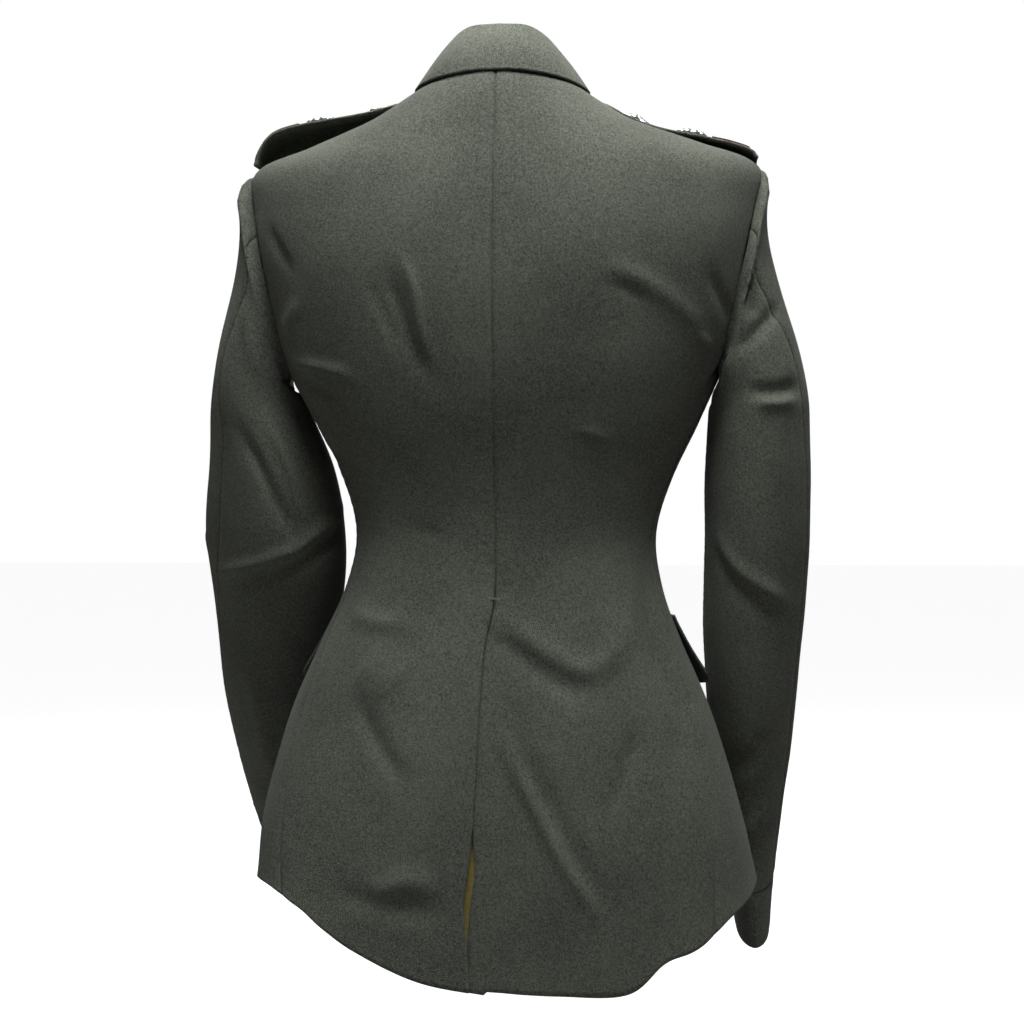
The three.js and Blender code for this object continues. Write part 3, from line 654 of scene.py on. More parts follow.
# ---------------------------------------------------------------- cloth meshes
BODY_CREASES = [
    # half width, height, (angle, station) along the crease
    [7, -3, [(23.5, 9.58), (22, 9.22), (20.5, 8.7), (18.5, 8.2), (16.5, 7.65)]],
    [4.5, 2.4, [(20, 9.93), (17.5, 9.35), (17, 8.7), (16.5, 7.93)]],
    [6, -1.6, [(27, 9.43), (25.5, 9.05), (24, 8.6), (22.5, 8.2)]],
    [6, -2.2, [(58, 10.65), (52.5, 10.15), (49, 9.73)]],
    [7, 2.2, [(48, 9.25), (53, 9), (62, 8.68)]],
    [6, 2.6, [(64, 8.2), (46, 7.98), (37.5, 7.73)]],
    [7, -2.6, [(63, 7.93), (53, 7.62), (45.5, 7.35)]],
    [8, -1.6, [(87, 6.4), (56, 6.25), (48, 6.08)]],
    [7, -1.1, [(32.5, 5.08), (25.5, 5.03), (19, 4.9)]],
    [6, -2.2, [(-51.5, 9.7), (-57, 9.33), (-67.5, 8.88)]],
    [9, 2, [(-24.5, 9.7), (-34, 9.43), (-54, 8.6)]],
    [5, -1.5, [(-26, 9.4), (-30.5, 9.3), (-35.5, 9.1)]],
    [5, 1.6, [(-53, 8.55), (-60.5, 8.38)]],
    [7, -2.6, [(-91, 8.45), (-76, 8), (-68.5, 7.55)]],
    [5, 1.2, [(-24.5, 6.75), (-29, 6.7), (-34, 6.6)]],
    [11, 2.6, [(4.5, 3.73), (-6, 3.33), (-19.5, 2.93), (-28, 2.8), (-37, 3.03), (-45, 3.62)]],
    [11, -2.2, [(2.5, 3.4), (-7, 3.05), (-19.5, 2.68), (-30, 2.58)]],
    [9, 2.2, [(54, 3.6), (40.5, 3.4), (27, 3.38)]],
    [26, 3, [(40.5, 2.85), (33, 2.7), (26.5, 2.55)]],
    [6, 3.2, [(-2.5, 2.23), (-10, 1.62), (-16.5, 1.1), (-24, 0.58)]],
    [10, -2, [(-5.5, 2.18), (-13.5, 1.62), (-20, 1.05), (-26.5, 0.65)]],
    [9, -2.6, [(37.5, 2.48), (30, 2.1), (20.5, 1.68)]],
    [10, -2.6, [(-37.5, 2.2), (-32.5, 1.78), (-28.5, 1.43)]],
    [11, -3, [(-68, 4.73), (-54, 3.12), (-54, 2.3), (-46, 1.68)]],
    [11, 3, [(26, 0.6), (18.5, 0.85), (12, 0.83)]],
    [11, -2, [(36, 0.48), (21.5, 0.62), (8, 0.65)]],
    # the fronts
    [7, -2.4, [(128, 10.6), (132, 9.9), (140, 9.2), (150, 8.7)]],
    [6, 2, [(122, 10), (130, 9.3), (141, 8.6)]],
    [7, -2.4, [(-126, 10.7), (-131, 9.9), (-138, 9.3), (-147, 8.9)]],
    [6, 1.9, [(-120, 10.1), (-128, 9.5), (-137, 8.9)]],
    [7, 2.4, [(104, 8.1), (118, 7.7), (130, 7.2)]],
    [8, -2.2, [(106, 7.8), (120, 7.4), (134, 6.8)]],
    [7, 2.2, [(-102, 8.2), (-113, 7.9), (-124, 7.5)]],
    [8, -2.4, [(-103, 7.9), (-116, 7.5), (-131, 7)]],
    [8, -2, [(112, 5.6), (126, 5.3), (140, 5.2)]],
    [7, 1.7, [(118, 5.9), (134, 5.7), (151, 5.3)]],
    [8, -2.1, [(-110, 5.4), (-127, 5.2), (-146, 5.3)]],
    [7, 1.6, [(-116, 5.7), (-131, 5.6), (-144, 5.7)]],
    [11, -2.4, [(144, 3.9), (147, 2.9), (143, 1.9), (139, 1.2)]],
    [10, 2.2, [(154, 3.6), (157, 2.5), (155, 1.5), (150, 0.7)]],
    [12, -2.4, [(-141, 3.7), (-143, 2.6), (-138, 1.6)]],
    [11, 2.4, [(-151, 3.2), (-155, 2.2), (-152, 1)]],
    [12, -2, [(104, 2.2), (107, 1.4), (104, 0.7)]],
    [12, 2, [(-101, 2.1), (-105, 1.3), (-103, 0.6)]],
]
SLEEVE_CREASES = [
    # side, half width, height, (angle round the sleeve, share of its length)
    [1, 6, -3.4, [(63, 0.37), (67, 0.43), (70, 0.48), (78, 0.505)]],
    [1, 5, 2.8, [(96, 0.37), (91, 0.427), (87, 0.468), (82, 0.503)]],
    [1, 5.5, 4, [(143, 0.487), (96, 0.505), (79, 0.517), (61, 0.525), (26, 0.542), (0, 0.56)]],
    [1, 6, -3.4, [(140, 0.507), (97, 0.523), (79, 0.531), (61, 0.54), (25, 0.558)]],
    [1, 8, 1.6, [(78, 0.145), (93, 0.19), (108, 0.255)]],
    [1, 6, -3.6, [(215, 0.47), (245, 0.478), (278, 0.487), (305, 0.5)]],
    [1, 6, 3, [(205, 0.45), (240, 0.458), (275, 0.465), (318, 0.48)]],
    [1, 7, -3.2, [(222, 0.52), (250, 0.512), (280, 0.508), (312, 0.515)]],
    [1, 6, 2.8, [(214, 0.545), (245, 0.536), (283, 0.53), (330, 0.54)]],
    [1, 8, -2.4, [(228, 0.575), (255, 0.567), (290, 0.56)]],
    [1, 8, -2.2, [(330, 0.2), (300, 0.24), (268, 0.26)]],
    [1, 8, -2, [(285, 0.13), (262, 0.17), (236, 0.2)]],
    [1, 8, 2, [(300, 0.12), (275, 0.16), (244, 0.185)]],
    [1, 9, -2.2, [(160, 0.66), (175, 0.72), (200, 0.77)]],
    [1, 9, 1.8, [(40, 0.66), (55, 0.73), (62, 0.8)]],
    [1, 9, -1.8, [(70, 0.83), (95, 0.86), (120, 0.87)]],
    [-1, 7, -2.2, [(96, 0.05), (91, 0.115), (83, 0.185)]],
    [-1, 7, -2.6, [(39, 0.217), (80, 0.21), (117, 0.175)]],
    [-1, 7, -2.8, [(109, 0.312), (81, 0.328), (40, 0.328)]],
    [-1, 5.5, 2.2, [(98, 0.348), (79, 0.352), (50, 0.348)]],
    [-1, 7, 2.8, [(141, 0.52), (118, 0.557), (84, 0.58), (56, 0.598)]],
    [-1, 8, -2.2, [(146, 0.54), (121, 0.575), (88, 0.598), (61, 0.615)]],
    [-1, 7, -2.6, [(232, 0.46), (262, 0.475), (292, 0.48), (322, 0.47)]],
    [-1, 6, 2.2, [(226, 0.44), (258, 0.452), (300, 0.456)]],
    [-1, 7, -2.4, [(238, 0.525), (270, 0.512), (306, 0.51)]],
    [-1, 8, -2, [(288, 0.14), (262, 0.18), (238, 0.2)]],
    [-1, 8, 1.9, [(300, 0.125), (276, 0.165), (246, 0.185)]],
    [-1, 9, -2, [(250, 0.66), (275, 0.69), (300, 0.7)]],
    [-1, 15, 4, [(135, 0.03), (150, 0.1), (160, 0.17), (170, 0.27)]],
    [1, 15, 4, [(165, 0.05), (180, 0.13), (180, 0.22), (172, 0.33)]],
    [-1, 9, -1.8, [(70, 0.72), (95, 0.75), (118, 0.76)]],
    [-1, 8, 1.8, [(60, 0.8), (90, 0.83), (115, 0.84)]],
]
# short pleats of eased cloth over each sleeve head: angle, length in mm, height
HEAD_EASE = [
    [-62, 24, 0.7],
    [-47, 30, 0.9],
    [-33, 22, 0.6],
    [-18, 26, 0.8],
    [-5, 20, 0.5],
    [9, 27, 0.7],
    [24, 21, 0.6],
    [39, 31, 0.9],
    [55, 25, 0.8],
    [70, 19, 0.6],
]


def normals(grid):
    """Unit normals of a grid of points, along rows then columns."""
    along = np.gradient(grid, axis=1)
    down = np.gradient(grid, axis=0)
    return unit(np.cross(along, down))


def faced(grid, inside):
    """Normals of a grid turned away from the points inside."""
    n = normals(grid)
    return n if np.sum(n * (grid - inside)) > 0 else -n


def crease_field(grid, normal, creases):
    """How far each point moves out for creases given as points in space."""
    field = np.zeros(grid.shape[:2])
    for wide, high, path in creases:
        path = np.asarray(path, float)
        lengths = np.linalg.norm(np.diff(path, axis=0), axis=1)
        travelled = np.concatenate([[0], np.cumsum(lengths)])
        reach = 3 * wide
        near = np.all((grid > path.min(0) - reach) & (grid < path.max(0) + reach), -1)
        if not near.any():
            continue
        points = grid[near]
        best = np.full(len(points), 1e9)
        place = np.zeros(len(points))
        for k, length in enumerate(lengths):
            ray = (path[k + 1] - path[k]) / length
            t = np.clip((points - path[k]) @ ray, 0, length)
            gap = np.linalg.norm(points - (path[k] + t[:, None] * ray), axis=1)
            closer = gap < best
            best[closer] = gap[closer]
            place[closer] = (travelled[k] + t)[closer]
        share = place / travelled[-1]
        # a crease fades towards its ends and is sharper in its middle
        fade = smooth(share, -0.12, 0.3) * (1 - smooth(share, 0.7, 1.12))
        width = wide * mix(1.35, 0.9, fade)
        field[near] += high * fade * np.exp(-((best / width) ** 2))
    return field


def spline(path, steps=6):
    """A smooth path through a few points of angle and station."""
    path = np.asarray(path, float)
    rows = {"a": path[:, 0], "b": path[:, 1]}
    at = np.linspace(0, len(path) - 1, steps * (len(path) - 1) + 1)
    return column(rows, "a", at), column(rows, "b", at)


def body_creases():
    """Creases of the fronts and backs, as lines in space."""
    for wide, high, path in BODY_CREASES:
        yield wide, high, torso(*spline(path))


def sleeve_creases(side):
    """Creases of one sleeve and the eased cloth over its head."""
    for which, wide, high, path in SLEEVE_CREASES:
        if which == side:
            yield wide, high, sleeve_point(side, *spline(path))
    for angle, length, high in HEAD_EASE:
        shares = 0.012 + np.linspace(0, length / 640, 5)
        yield 3.2, high, sleeve_point(side, angle, shares)


def wobble(grid, scale, seed):
    """Soft uneven swell of hand-pressed cloth, the same on each run."""
    random = np.random.default_rng(seed)
    field = np.zeros(grid.shape[:2])
    for _ in range(9):
        wave = unit(random.normal(size=3)) / (scale * random.uniform(0.6, 1.6))
        field += np.sin(grid @ wave * 2 * np.pi + random.uniform(0, 2 * np.pi))
    return field / 9


def edge_distance(grid):
    """Distance in mm of each point from the four edges: first column, last, first row, last."""
    across = np.linalg.norm(np.diff(grid, axis=1), axis=2)
    down = np.linalg.norm(np.diff(grid, axis=0), axis=2)
    from_first = np.concatenate([np.zeros((len(grid), 1)), np.cumsum(across, 1)], 1)
    from_top = np.concatenate([np.zeros((1, grid.shape[1])), np.cumsum(down, 0)], 0)
    return (
        from_first,
        from_first[:, -1:] - from_first,
        from_top,
        from_top[-1:, :] - from_top,
    )


def cloth_mesh(name, grid, inside, thick, lift=None, round_edge=0.35, closed=False):
    """A closed shell of cloth on a grid: lift moves it out along its normals first."""
    outward = faced(grid, inside)
    if lift is not None:
        grid = grid + outward * lift[..., None]
        if closed:
            grid[:, -1] = grid[:, 0]
        outward = faced(grid, inside)
    if closed:
        ends = unit(outward[:, 0] + outward[:, -1])
        outward[:, 0] = outward[:, -1] = ends
    thick = np.broadcast_to(thick, grid.shape[:2])[..., None]
    inner = grid - outward * thick
    rows, columns = grid.shape[:2]
    sides = edge_distance(grid)
    points = [grid.reshape(-1, 3), inner.reshape(-1, 3)]
    count = rows * columns
    index = np.arange(count).reshape(rows, columns)
    quads = [
        np.stack([index[:-1, :-1], index[:-1, 1:], index[1:, 1:], index[1:, :-1]], -1),
    ]
    quads.append(quads[0][..., ::-1] + count)
    quads = [q.reshape(-1, 4) for q in quads]
    if closed:
        borders = [(index[0], index[1]), (index[-1, ::-1], index[-2, ::-1])]
    else:
        loop = np.concatenate(
            [index[0, :-1], index[:-1, -1], index[-1, :0:-1], index[:0:-1, 0]]
        )
        inner_loop = np.concatenate(
            [index[1, :-1], index[:-1, -2], index[-2, :0:-1], index[:0:-1, 1]]
        )
        borders = [(loop, inner_loop)]
    flat, flat_inner = points[0], points[1]
    start = 2 * count
    for edge, behind in borders:
        away = unit(flat[edge] - flat[behind])
        depth = np.linalg.norm(flat[edge] - flat_inner[edge], axis=1, keepdims=True)
        bulge = (flat[edge] + flat_inner[edge]) / 2 + away * depth * round_edge
        points.append(bulge)
        n = len(edge)
        mid = start + np.arange(n)
        start += n
        after = np.roll(np.arange(n), -1) if not closed else np.arange(1, n)
        here = np.arange(n) if not closed else np.arange(n - 1)
        quads.append(np.stack([edge[after], edge[here], mid[here], mid[after]], -1))
        quads.append(
            np.stack([mid[after], mid[here], edge[here] + count, edge[after] + count], -1)
        )
    points = np.concatenate(points)
    faces = np.concatenate(quads)
    across, _, down, _ = sides
    chart = np.stack([across, np.broadcast_to(down[:, columns // 2, None], across.shape)], -1)
    chart = chart.reshape(-1, 2)
    charts = np.concatenate([chart, chart] + [chart[edge] for edge, _ in borders])
    return solid(name, points, faces, charts * MM)


def solid(name, points, faces, chart=None):
    """An object at the origin from points in mm and faces, its faces turned outwards."""
    mesh = bpy.data.meshes.new(name)
    mesh.from_pydata((np.asarray(points) * MM).tolist(), [], [list(map(int, f)) for f in faces])
    if chart is not None:
        layer = mesh.uv_layers.new(name="cut")
        corners = np.zeros(len(mesh.loops), np.int32)
        mesh.loops.foreach_get("vertex_index", corners)
        layer.data.foreach_set("uv", chart[corners].astype(np.float32).ravel())
    obj = bpy.data.objects.new(f"made_{name}", mesh)
    bpy.context.scene.collection.objects.link(obj)
    work = bmesh.new()
    work.from_mesh(mesh)
    bmesh.ops.remove_doubles(work, verts=work.verts, dist=1e-6)
    bmesh.ops.recalc_face_normals(work, faces=work.faces)
    if work.calc_volume(signed=True) < 0:
        bmesh.ops.reverse_faces(work, faces=work.faces)
    work.to_mesh(mesh)
    work.free()
    mesh.polygons.foreach_set("use_smooth", [True] * len(mesh.polygons))
    mesh.update()
    return obj


def finish_piece(obj, material, slot, nodes):
    """Gives a piece its material and ties it to the frame."""
    obj.data.materials.clear()
    obj.data.materials.append(material)
    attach(obj, "root")
    if nodes:
        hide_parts(*nodes)
    return obj


def cloth_piece(obj, node, flat, area, held="stretched", slot="wool", nodes=None, material="wool"):
    finish_piece(obj, MATERIALS[material](), slot, nodes or [node])
    return obj


# ---------------------------------------------------------------- sizes and colours to change
class TunicCut(bpy.types.PropertyGroup):
    """Sizes of the cloth."""

    cloth: bpy.props.FloatProperty(
        name="Cloth", description="Thickness of the woollen cloth", default=CLOTH * MM, unit="LENGTH"
    )
    lining: bpy.props.FloatProperty(
        name="Lining", description="Thickness of the lining", default=0.001, unit="LENGTH"
    )
    crease: bpy.props.FloatProperty(
        name="Creases", description="Depth of the creases, 1 as pressed", default=1.35, subtype="FACTOR"
    )
    swell: bpy.props.FloatProperty(
        name="Swell", description="Height of the cloth's soft swell", default=0.0009, unit="LENGTH"
    )
    seam: bpy.props.FloatProperty(
        name="Seam", description="How far the cloth dips into a seam", default=0.0011, unit="LENGTH"
    )


class TunicColours(bpy.types.PropertyGroup):
    """Colours of the cloth and metal."""

    wool_dark: bpy.props.FloatVectorProperty(
        name="Dark wool", description="Darker fibres of the wool", size=3, subtype="COLOR",
        default=(0.022, 0.026, 0.021),
    )
    wool_light: bpy.props.FloatVectorProperty(
        name="Light wool", description="Lighter fibres of the wool", size=3, subtype="COLOR",
        default=(0.158, 0.167, 0.136),
    )
    lining: bpy.props.FloatVectorProperty(
        name="Lining", description="Satin of the lining", size=3, subtype="COLOR",
        default=(0.24, 0.2, 0.06),
    )
    silver: bpy.props.FloatVectorProperty(
        name="Silver", description="Metal of ornaments and buttons", size=3, subtype="COLOR",
        default=(0.74, 0.75, 0.74),
    )
    red: bpy.props.FloatVectorProperty(
        name="Red cloth", description="Cloth of the tab on each strap", size=3, subtype="COLOR",
        default=(0.13, 0.02, 0.02),
    )
    thread: bpy.props.FloatVectorProperty(
        name="Thread", description="Sewing thread", size=3, subtype="COLOR",
        default=(0.14, 0.15, 0.125),
    )


class TunicStitches(bpy.types.PropertyGroup):
    """Sizes of the topstitching."""

    length: bpy.props.FloatProperty(
        name="Length", description="Length of one stitch", default=0.0021, unit="LENGTH"
    )
    pitch: bpy.props.FloatProperty(
        name="Pitch", description="From one stitch to the next", default=0.003, unit="LENGTH"
    )
    thick: bpy.props.FloatProperty(
        name="Thickness", description="Thickness of the thread", default=0.00055, unit="LENGTH"
    )
    inset: bpy.props.FloatProperty(
        name="Inset", description="From the edge to the stitching", default=0.0028, unit="LENGTH"
    )


class TunicStage(bpy.types.PropertyGroup):
    """Floor, light and camera."""

    floor: bpy.props.FloatVectorProperty(
        name="Floor", description="Colour of the floor", size=3, subtype="COLOR",
        default=(0.4, 0.4, 0.4),
    )
    top: bpy.props.FloatProperty(
        name="Top light", description="Power of the light above", default=29, unit="POWER"
    )
    fill: bpy.props.FloatProperty(
        name="Fill light", description="Power of the light behind", default=0.7, unit="POWER"
    )
    world: bpy.props.FloatProperty(
        name="Surround", description="Strength of the light all round", default=0.06
    )
    azimuth: bpy.props.FloatProperty(
        name="Azimuth", description="Where the camera stands round the tunic", default=math.radians(185.5),
        subtype="ANGLE",
    )
    lens: bpy.props.FloatProperty(name="Lens", description="Focal length in millimetres", default=60.96)


class Tunic(bpy.types.PropertyGroup):
    """Everything about the tunic that can be changed."""

    cut: bpy.props.PointerProperty(type=TunicCut, name="Cut", description="Sizes of the cloth")
    colours: bpy.props.PointerProperty(type=TunicColours, name="Colours", description="Colours")
    stitches: bpy.props.PointerProperty(type=TunicStitches, name="Stitches", description="Topstitching")
    stage: bpy.props.PointerProperty(type=TunicStage, name="Stage", description="Floor, light and camera")


def settings():
    return bpy.context.scene.tunic


# ---------------------------------------------------------------- materials
def shader_group(name, inputs, outputs, build):
    """A node group with named inputs and outputs, built once."""
    found = bpy.data.node_groups.get(name)
    if found:
        return found
    tree = bpy.data.node_groups.new(name, "ShaderNodeTree")
    for label, kind, default in inputs:
        socket = tree.interface.new_socket(name=label, in_out="INPUT", socket_type=kind)
        socket.default_value = default
    for label, kind in outputs:
        tree.interface.new_socket(name=label, in_out="OUTPUT", socket_type=kind)
    build(tree, tree.nodes.new("NodeGroupInput"), tree.nodes.new("NodeGroupOutput"))
    return tree


def node(tree, kind, links=None, **values):
    """A node with its properties set and its inputs linked or filled in."""
    made = tree.nodes.new(kind)
    for key, value in values.items():
        setattr(made, key, value)
    for key, value in (links or {}).items():
        if isinstance(value, bpy.types.NodeSocket):
            tree.links.new(value, made.inputs[key])
        else:
            made.inputs[key].default_value = value
    return made


def mixed(tree, factor, first, second):
    """The colour between two others; the mix node keeps its colour sockets at these places."""
    made = node(tree, "ShaderNodeMix", {}, data_type="RGBA")
    for place, value in ((0, factor), (6, first), (7, second)):
        if isinstance(value, bpy.types.NodeSocket):
            tree.links.new(value, made.inputs[place])
        else:
            made.inputs[place].default_value = value
    return made.outputs[2]


def heather_build(tree, given, result):
    """Mixed fibres: fine flecks of two tones, clouded over a hand's breadth."""
    place = node(tree, "ShaderNodeTexCoord").outputs["Object"]
    fibre = node(
        tree, "ShaderNodeTexNoise", {"Vector": place, "Scale": given.outputs["Fleck"], "Detail": 3.0}
    )
    fine = node(tree, "ShaderNodeMath", {0: given.outputs["Fleck"], 1: 2.7}, operation="MULTIPLY")
    fleck = node(
        tree, "ShaderNodeTexNoise", {"Vector": place, "Scale": fine.outputs[0], "Detail": 2.0}
    )
    cloud = node(tree, "ShaderNodeTexNoise", {"Vector": place, "Scale": 14.0, "Detail": 3.0})
    both = node(
        tree, "ShaderNodeMath", {0: fibre.outputs["Fac"], 1: fleck.outputs["Fac"]}, operation="ADD"
    )
    sharp = node(
        tree, "ShaderNodeMapRange",
        {"Value": both.outputs[0], "From Min": 0.66, "From Max": 1.34, "To Min": 0.0, "To Max": 1.0},
    )
    tone = mixed(tree, sharp.outputs[0], given.outputs["Dark"], given.outputs["Light"])
    clouded = node(
        tree, "ShaderNodeMapRange",
        {"Value": cloud.outputs["Fac"], "From Min": 0.3, "From Max": 0.7, "To Min": 0.88, "To Max": 1.1},
    )
    shaded = node(
        tree, "ShaderNodeVectorMath", {0: tone, 1: clouded.outputs[0]},
        operation="MULTIPLY",
    )
    tree.links.new(shaded.outputs[0], result.inputs["Color"])
    tree.links.new(both.outputs[0], result.inputs["Fibre"])


def weave_build(tree, given, result):
    """Broken rib of the weave, from the cloth's own chart."""
    chart = node(tree, "ShaderNodeUVMap", uv_map="cut").outputs[0]
    rib = node(
        tree, "ShaderNodeTexWave",
        {
            "Vector": chart,
            "Scale": given.outputs["Rib"],
            "Distortion": 1.6,
            "Detail": 1.0,
            "Detail Scale": 2.0,
        },
        wave_type="BANDS", bands_direction="DIAGONAL",
    )
    size = node(tree, "ShaderNodeMath", {0: given.outputs["Rib"], 1: 2.2}, operation="MULTIPLY")
    grain = node(tree, "ShaderNodeTexVoronoi", {"Vector": chart, "Scale": size.outputs[0]})
    height = node(
        tree, "ShaderNodeMath", {0: rib.outputs["Fac"], 1: grain.outputs["Distance"]}, operation="ADD"
    )
    tree.links.new(height.outputs[0], result.inputs["Height"])


def handled_build(tree, given, result):
    """Uneven rubbing and dust: a mask in broad patches broken up by fine grain."""
    place = node(tree, "ShaderNodeTexCoord").outputs["Object"]
    broad = node(
        tree, "ShaderNodeTexNoise",
        {"Vector": place, "Scale": given.outputs["Patch"], "Detail": 4.0},
    )
    fine = node(tree, "ShaderNodeTexNoise", {"Vector": place, "Scale": 900.0, "Detail": 1.0})
    mask = node(
        tree, "ShaderNodeMath", {0: broad.outputs["Fac"], 1: fine.outputs["Fac"]}, operation="MULTIPLY"
    )
    ranged = node(
        tree, "ShaderNodeMapRange",
        {"Value": mask.outputs[0], "From Min": 0.2, "From Max": 0.38, "To Min": 0.0, "To Max": 1.0},
    )
    tree.links.new(ranged.outputs[0], result.inputs["Mask"])


def heather():
    return shader_group(
        "heather",
        [
            ("Dark", "NodeSocketColor", (0.05, 0.05, 0.05, 1)),
            ("Light", "NodeSocketColor", (0.2, 0.2, 0.2, 1)),
            ("Fleck", "NodeSocketFloat", 650.0),
        ],
        [("Color", "NodeSocketColor"), ("Fibre", "NodeSocketFloat")],
        heather_build,
    )


def weave():
    return shader_group(
        "weave", [("Rib", "NodeSocketFloat", 420.0)], [("Height", "NodeSocketFloat")], weave_build
    )


def handled():
    return shader_group(
        "handled", [("Patch", "NodeSocketFloat", 12.0)], [("Mask", "NodeSocketFloat")], handled_build
    )


def placed(tree, group, **values):
    made = tree.nodes.new("ShaderNodeGroup")
    made.node_tree = group
    for key, value in values.items():
        made.inputs[key].default_value = value
    return made


def principled(name, **values):
    """A new material and its shader, with constants set on the shader's own sockets."""
    material = bpy.data.materials.new(name)
    material.use_nodes = True
    shader = material.node_tree.nodes["Principled BSDF"]
    for key, value in values.items():
        shader.inputs[key.replace("_", " ")].default_value = value
    return material, material.node_tree, shader


def colour(value):
    return (*value, 1.0)


def cloth_material(name, dark, light, fleck, rib, sheen, bump, rough=0.92, patch=12.0):
    """A woven cloth of two tones of fibre."""
    found = bpy.data.materials.get(name)
    if found:
        return found
    material, tree, shader = principled(
        name, Roughness=rough, Sheen_Weight=sheen, Sheen_Roughness=0.45, Specular_IOR_Level=0.18
    )
    shader.inputs["Sheen Tint"].default_value = (0.8, 0.85, 0.78, 1)
    fibres = placed(tree, heather(), Dark=colour(dark), Light=colour(light), Fleck=fleck)
    woven = placed(tree, weave(), Rib=rib)
    rubbed = placed(tree, handled(), Patch=patch)
    faint = node(
        tree, "ShaderNodeMath", {0: rubbed.outputs["Mask"], 1: 0.22}, operation="MULTIPLY"
    )
    rubbed_tone = colour([min(1, c * 1.25) for c in light])
    tone = mixed(tree, faint.outputs[0], fibres.outputs["Color"], rubbed_tone)
    tree.links.new(tone, shader.inputs["Base Color"])
    fibre_bump = node(
        tree, "ShaderNodeBump",
        {"Height": fibres.outputs["Fibre"], "Strength": bump, "Distance": 0.0006},
    )
    weave_bump = node(
        tree, "ShaderNodeBump",
        {
            "Height": woven.outputs["Height"],
            "Strength": bump * 0.7,
            "Distance": 0.0004,
            "Normal": fibre_bump.outputs[0],
        },
    )
    tree.links.new(weave_bump.outputs[0], shader.inputs["Normal"])
    return material


def wool_material():
    c = settings().colours
    return cloth_material("tunic_wool", c.wool_dark, c.wool_light, 560.0, 420.0, 0.12, 0.6)


def red_material():
    c = settings().colours
    return cloth_material(
        "tunic_red", [v * 0.6 for v in c.red], c.red, 700.0, 600.0, 0.3, 0.5, patch=30.0
    )


def thread_material():
    c = settings().colours
    dark, light = [v * 0.8 for v in c.thread], [v * 1.3 for v in c.thread]
    return cloth_material("tunic_thread", dark, light, 1500.0, 2500.0, 0.2, 0.3, 0.7)


def lining_material():
    found = bpy.data.materials.get("tunic_lining")
    if found:
        return found
    c = settings().colours
    material, tree, shader = principled(
        "tunic_lining", Roughness=0.42, Sheen_Weight=0.15, Specular_IOR_Level=0.45, Sheen_Roughness=0.3
    )
    fibres = placed(
        tree, heather(), Dark=colour([v * 0.8 for v in c.lining]), Light=colour([v * 1.2 for v in c.lining]),
        Fleck=240.0,
    )
    woven = placed(tree, weave(), Rib=900.0)
    tree.links.new(fibres.outputs["Color"], shader.inputs["Base Color"])
    bump = node(
        tree, "ShaderNodeBump", {"Height": woven.outputs["Height"], "Strength": 0.15, "Distance": 0.0002}
    )
    tree.links.new(bump.outputs[0], shader.inputs["Normal"])
    return material


def silver_material():
    found = bpy.data.materials.get("tunic_silver")
    if found:
        return found
    c = settings().colours
    material, tree, shader = principled("tunic_silver", Metallic=1.0, Roughness=0.28)
    rubbed = placed(tree, handled(), Patch=160.0)
    dull = colour([v * 0.62 for v in c.silver])
    tone = mixed(tree, rubbed.outputs["Mask"], colour(c.silver), dull)
    tree.links.new(tone, shader.inputs["Base Color"])
    rough = node(
        tree, "ShaderNodeMapRange", {"Value": rubbed.outputs["Mask"], "To Min": 0.34, "To Max": 0.52}
    )
    tree.links.new(rough.outputs[0], shader.inputs["Roughness"])
    place = node(tree, "ShaderNodeTexCoord").outputs["Object"]
    cast = node(tree, "ShaderNodeTexNoise", {"Vector": place, "Scale": 520.0, "Detail": 2.0})
    bump = node(
        tree, "ShaderNodeBump", {"Height": cast.outputs["Fac"], "Strength": 0.06, "Distance": 0.0003}
    )
    tree.links.new(bump.outputs[0], shader.inputs["Normal"])
    return material


MATERIALS = {
    "wool": wool_material,
    "red_cloth": red_material,
    "thread": thread_material,
    "lining": lining_material,
    "silver": silver_material,
}


# ---------------------------------------------------------------- the pieces
WORDS = {1: "left", -1: "right"}
PANEL_PARTS = (190, 62, 34)
PANEL_COLUMNS = 74
# flat size and area of each piece as cut, in metres; a plain rectangle has no area of its own
CUTS = {
    "back_left": ((0.265, 0.815), 0.145),
    "back_right": ((0.265, 0.815), 0.155),
    "front": ((0.4, 0.79), 0.196),
    "lapel": ((0.1, 0.15), 0.0093),
    "collar": ((0.42, 0.09), 0.022),
    "top_sleeve_left": ((0.245, 0.61), 0.094),
    "under_sleeve_left": ((0.235, 0.5), 0.095),
    "top_sleeve_right": ((0.245, 0.62), 0.106),
    "under_sleeve_right": ((0.235, 0.49), 0.063),
    "cuff": ((0.285, 0.053), 0.015),
    "strap": ((0.165, 0.045), 0.007),
    "tab": ((0.036, 0.034), None),
    "flap": ((0.12, 0.0635), None),
    "vent_lining": ((0.041, 0.238), None),
}
SEAM_REACH = 1.7


def seam_dip(distance):
    """A pressed seam: the cloth turns in at its edge, with the allowance showing softly."""
    depth = settings().cut.seam / MM
    return -depth * np.exp(-((distance / SEAM_REACH) ** 2)) + 0.25 * np.exp(
        -(((distance - 10) / 4.5) ** 2)
    )


def stitched_dip(distances, depth=0.35, inset=2.8, wide=0.9):
    """The fine hollow that a row of stitches pulls in beside each edge."""
    return sum(-depth * np.exp(-(((d - inset) / wide) ** 2)) for d in distances)


def pucker(distance, along, high=0.3, step=8.5):
    """Small uneven ripples of a sewn seam."""
    ripple = np.sin(2 * np.pi * along / step) + 0.6 * np.sin(2 * np.pi * along / (step * 1.7) + 1)
    return high * ripple * np.exp(-distance / 9.0) * (1 - np.exp(-distance / 2.5))


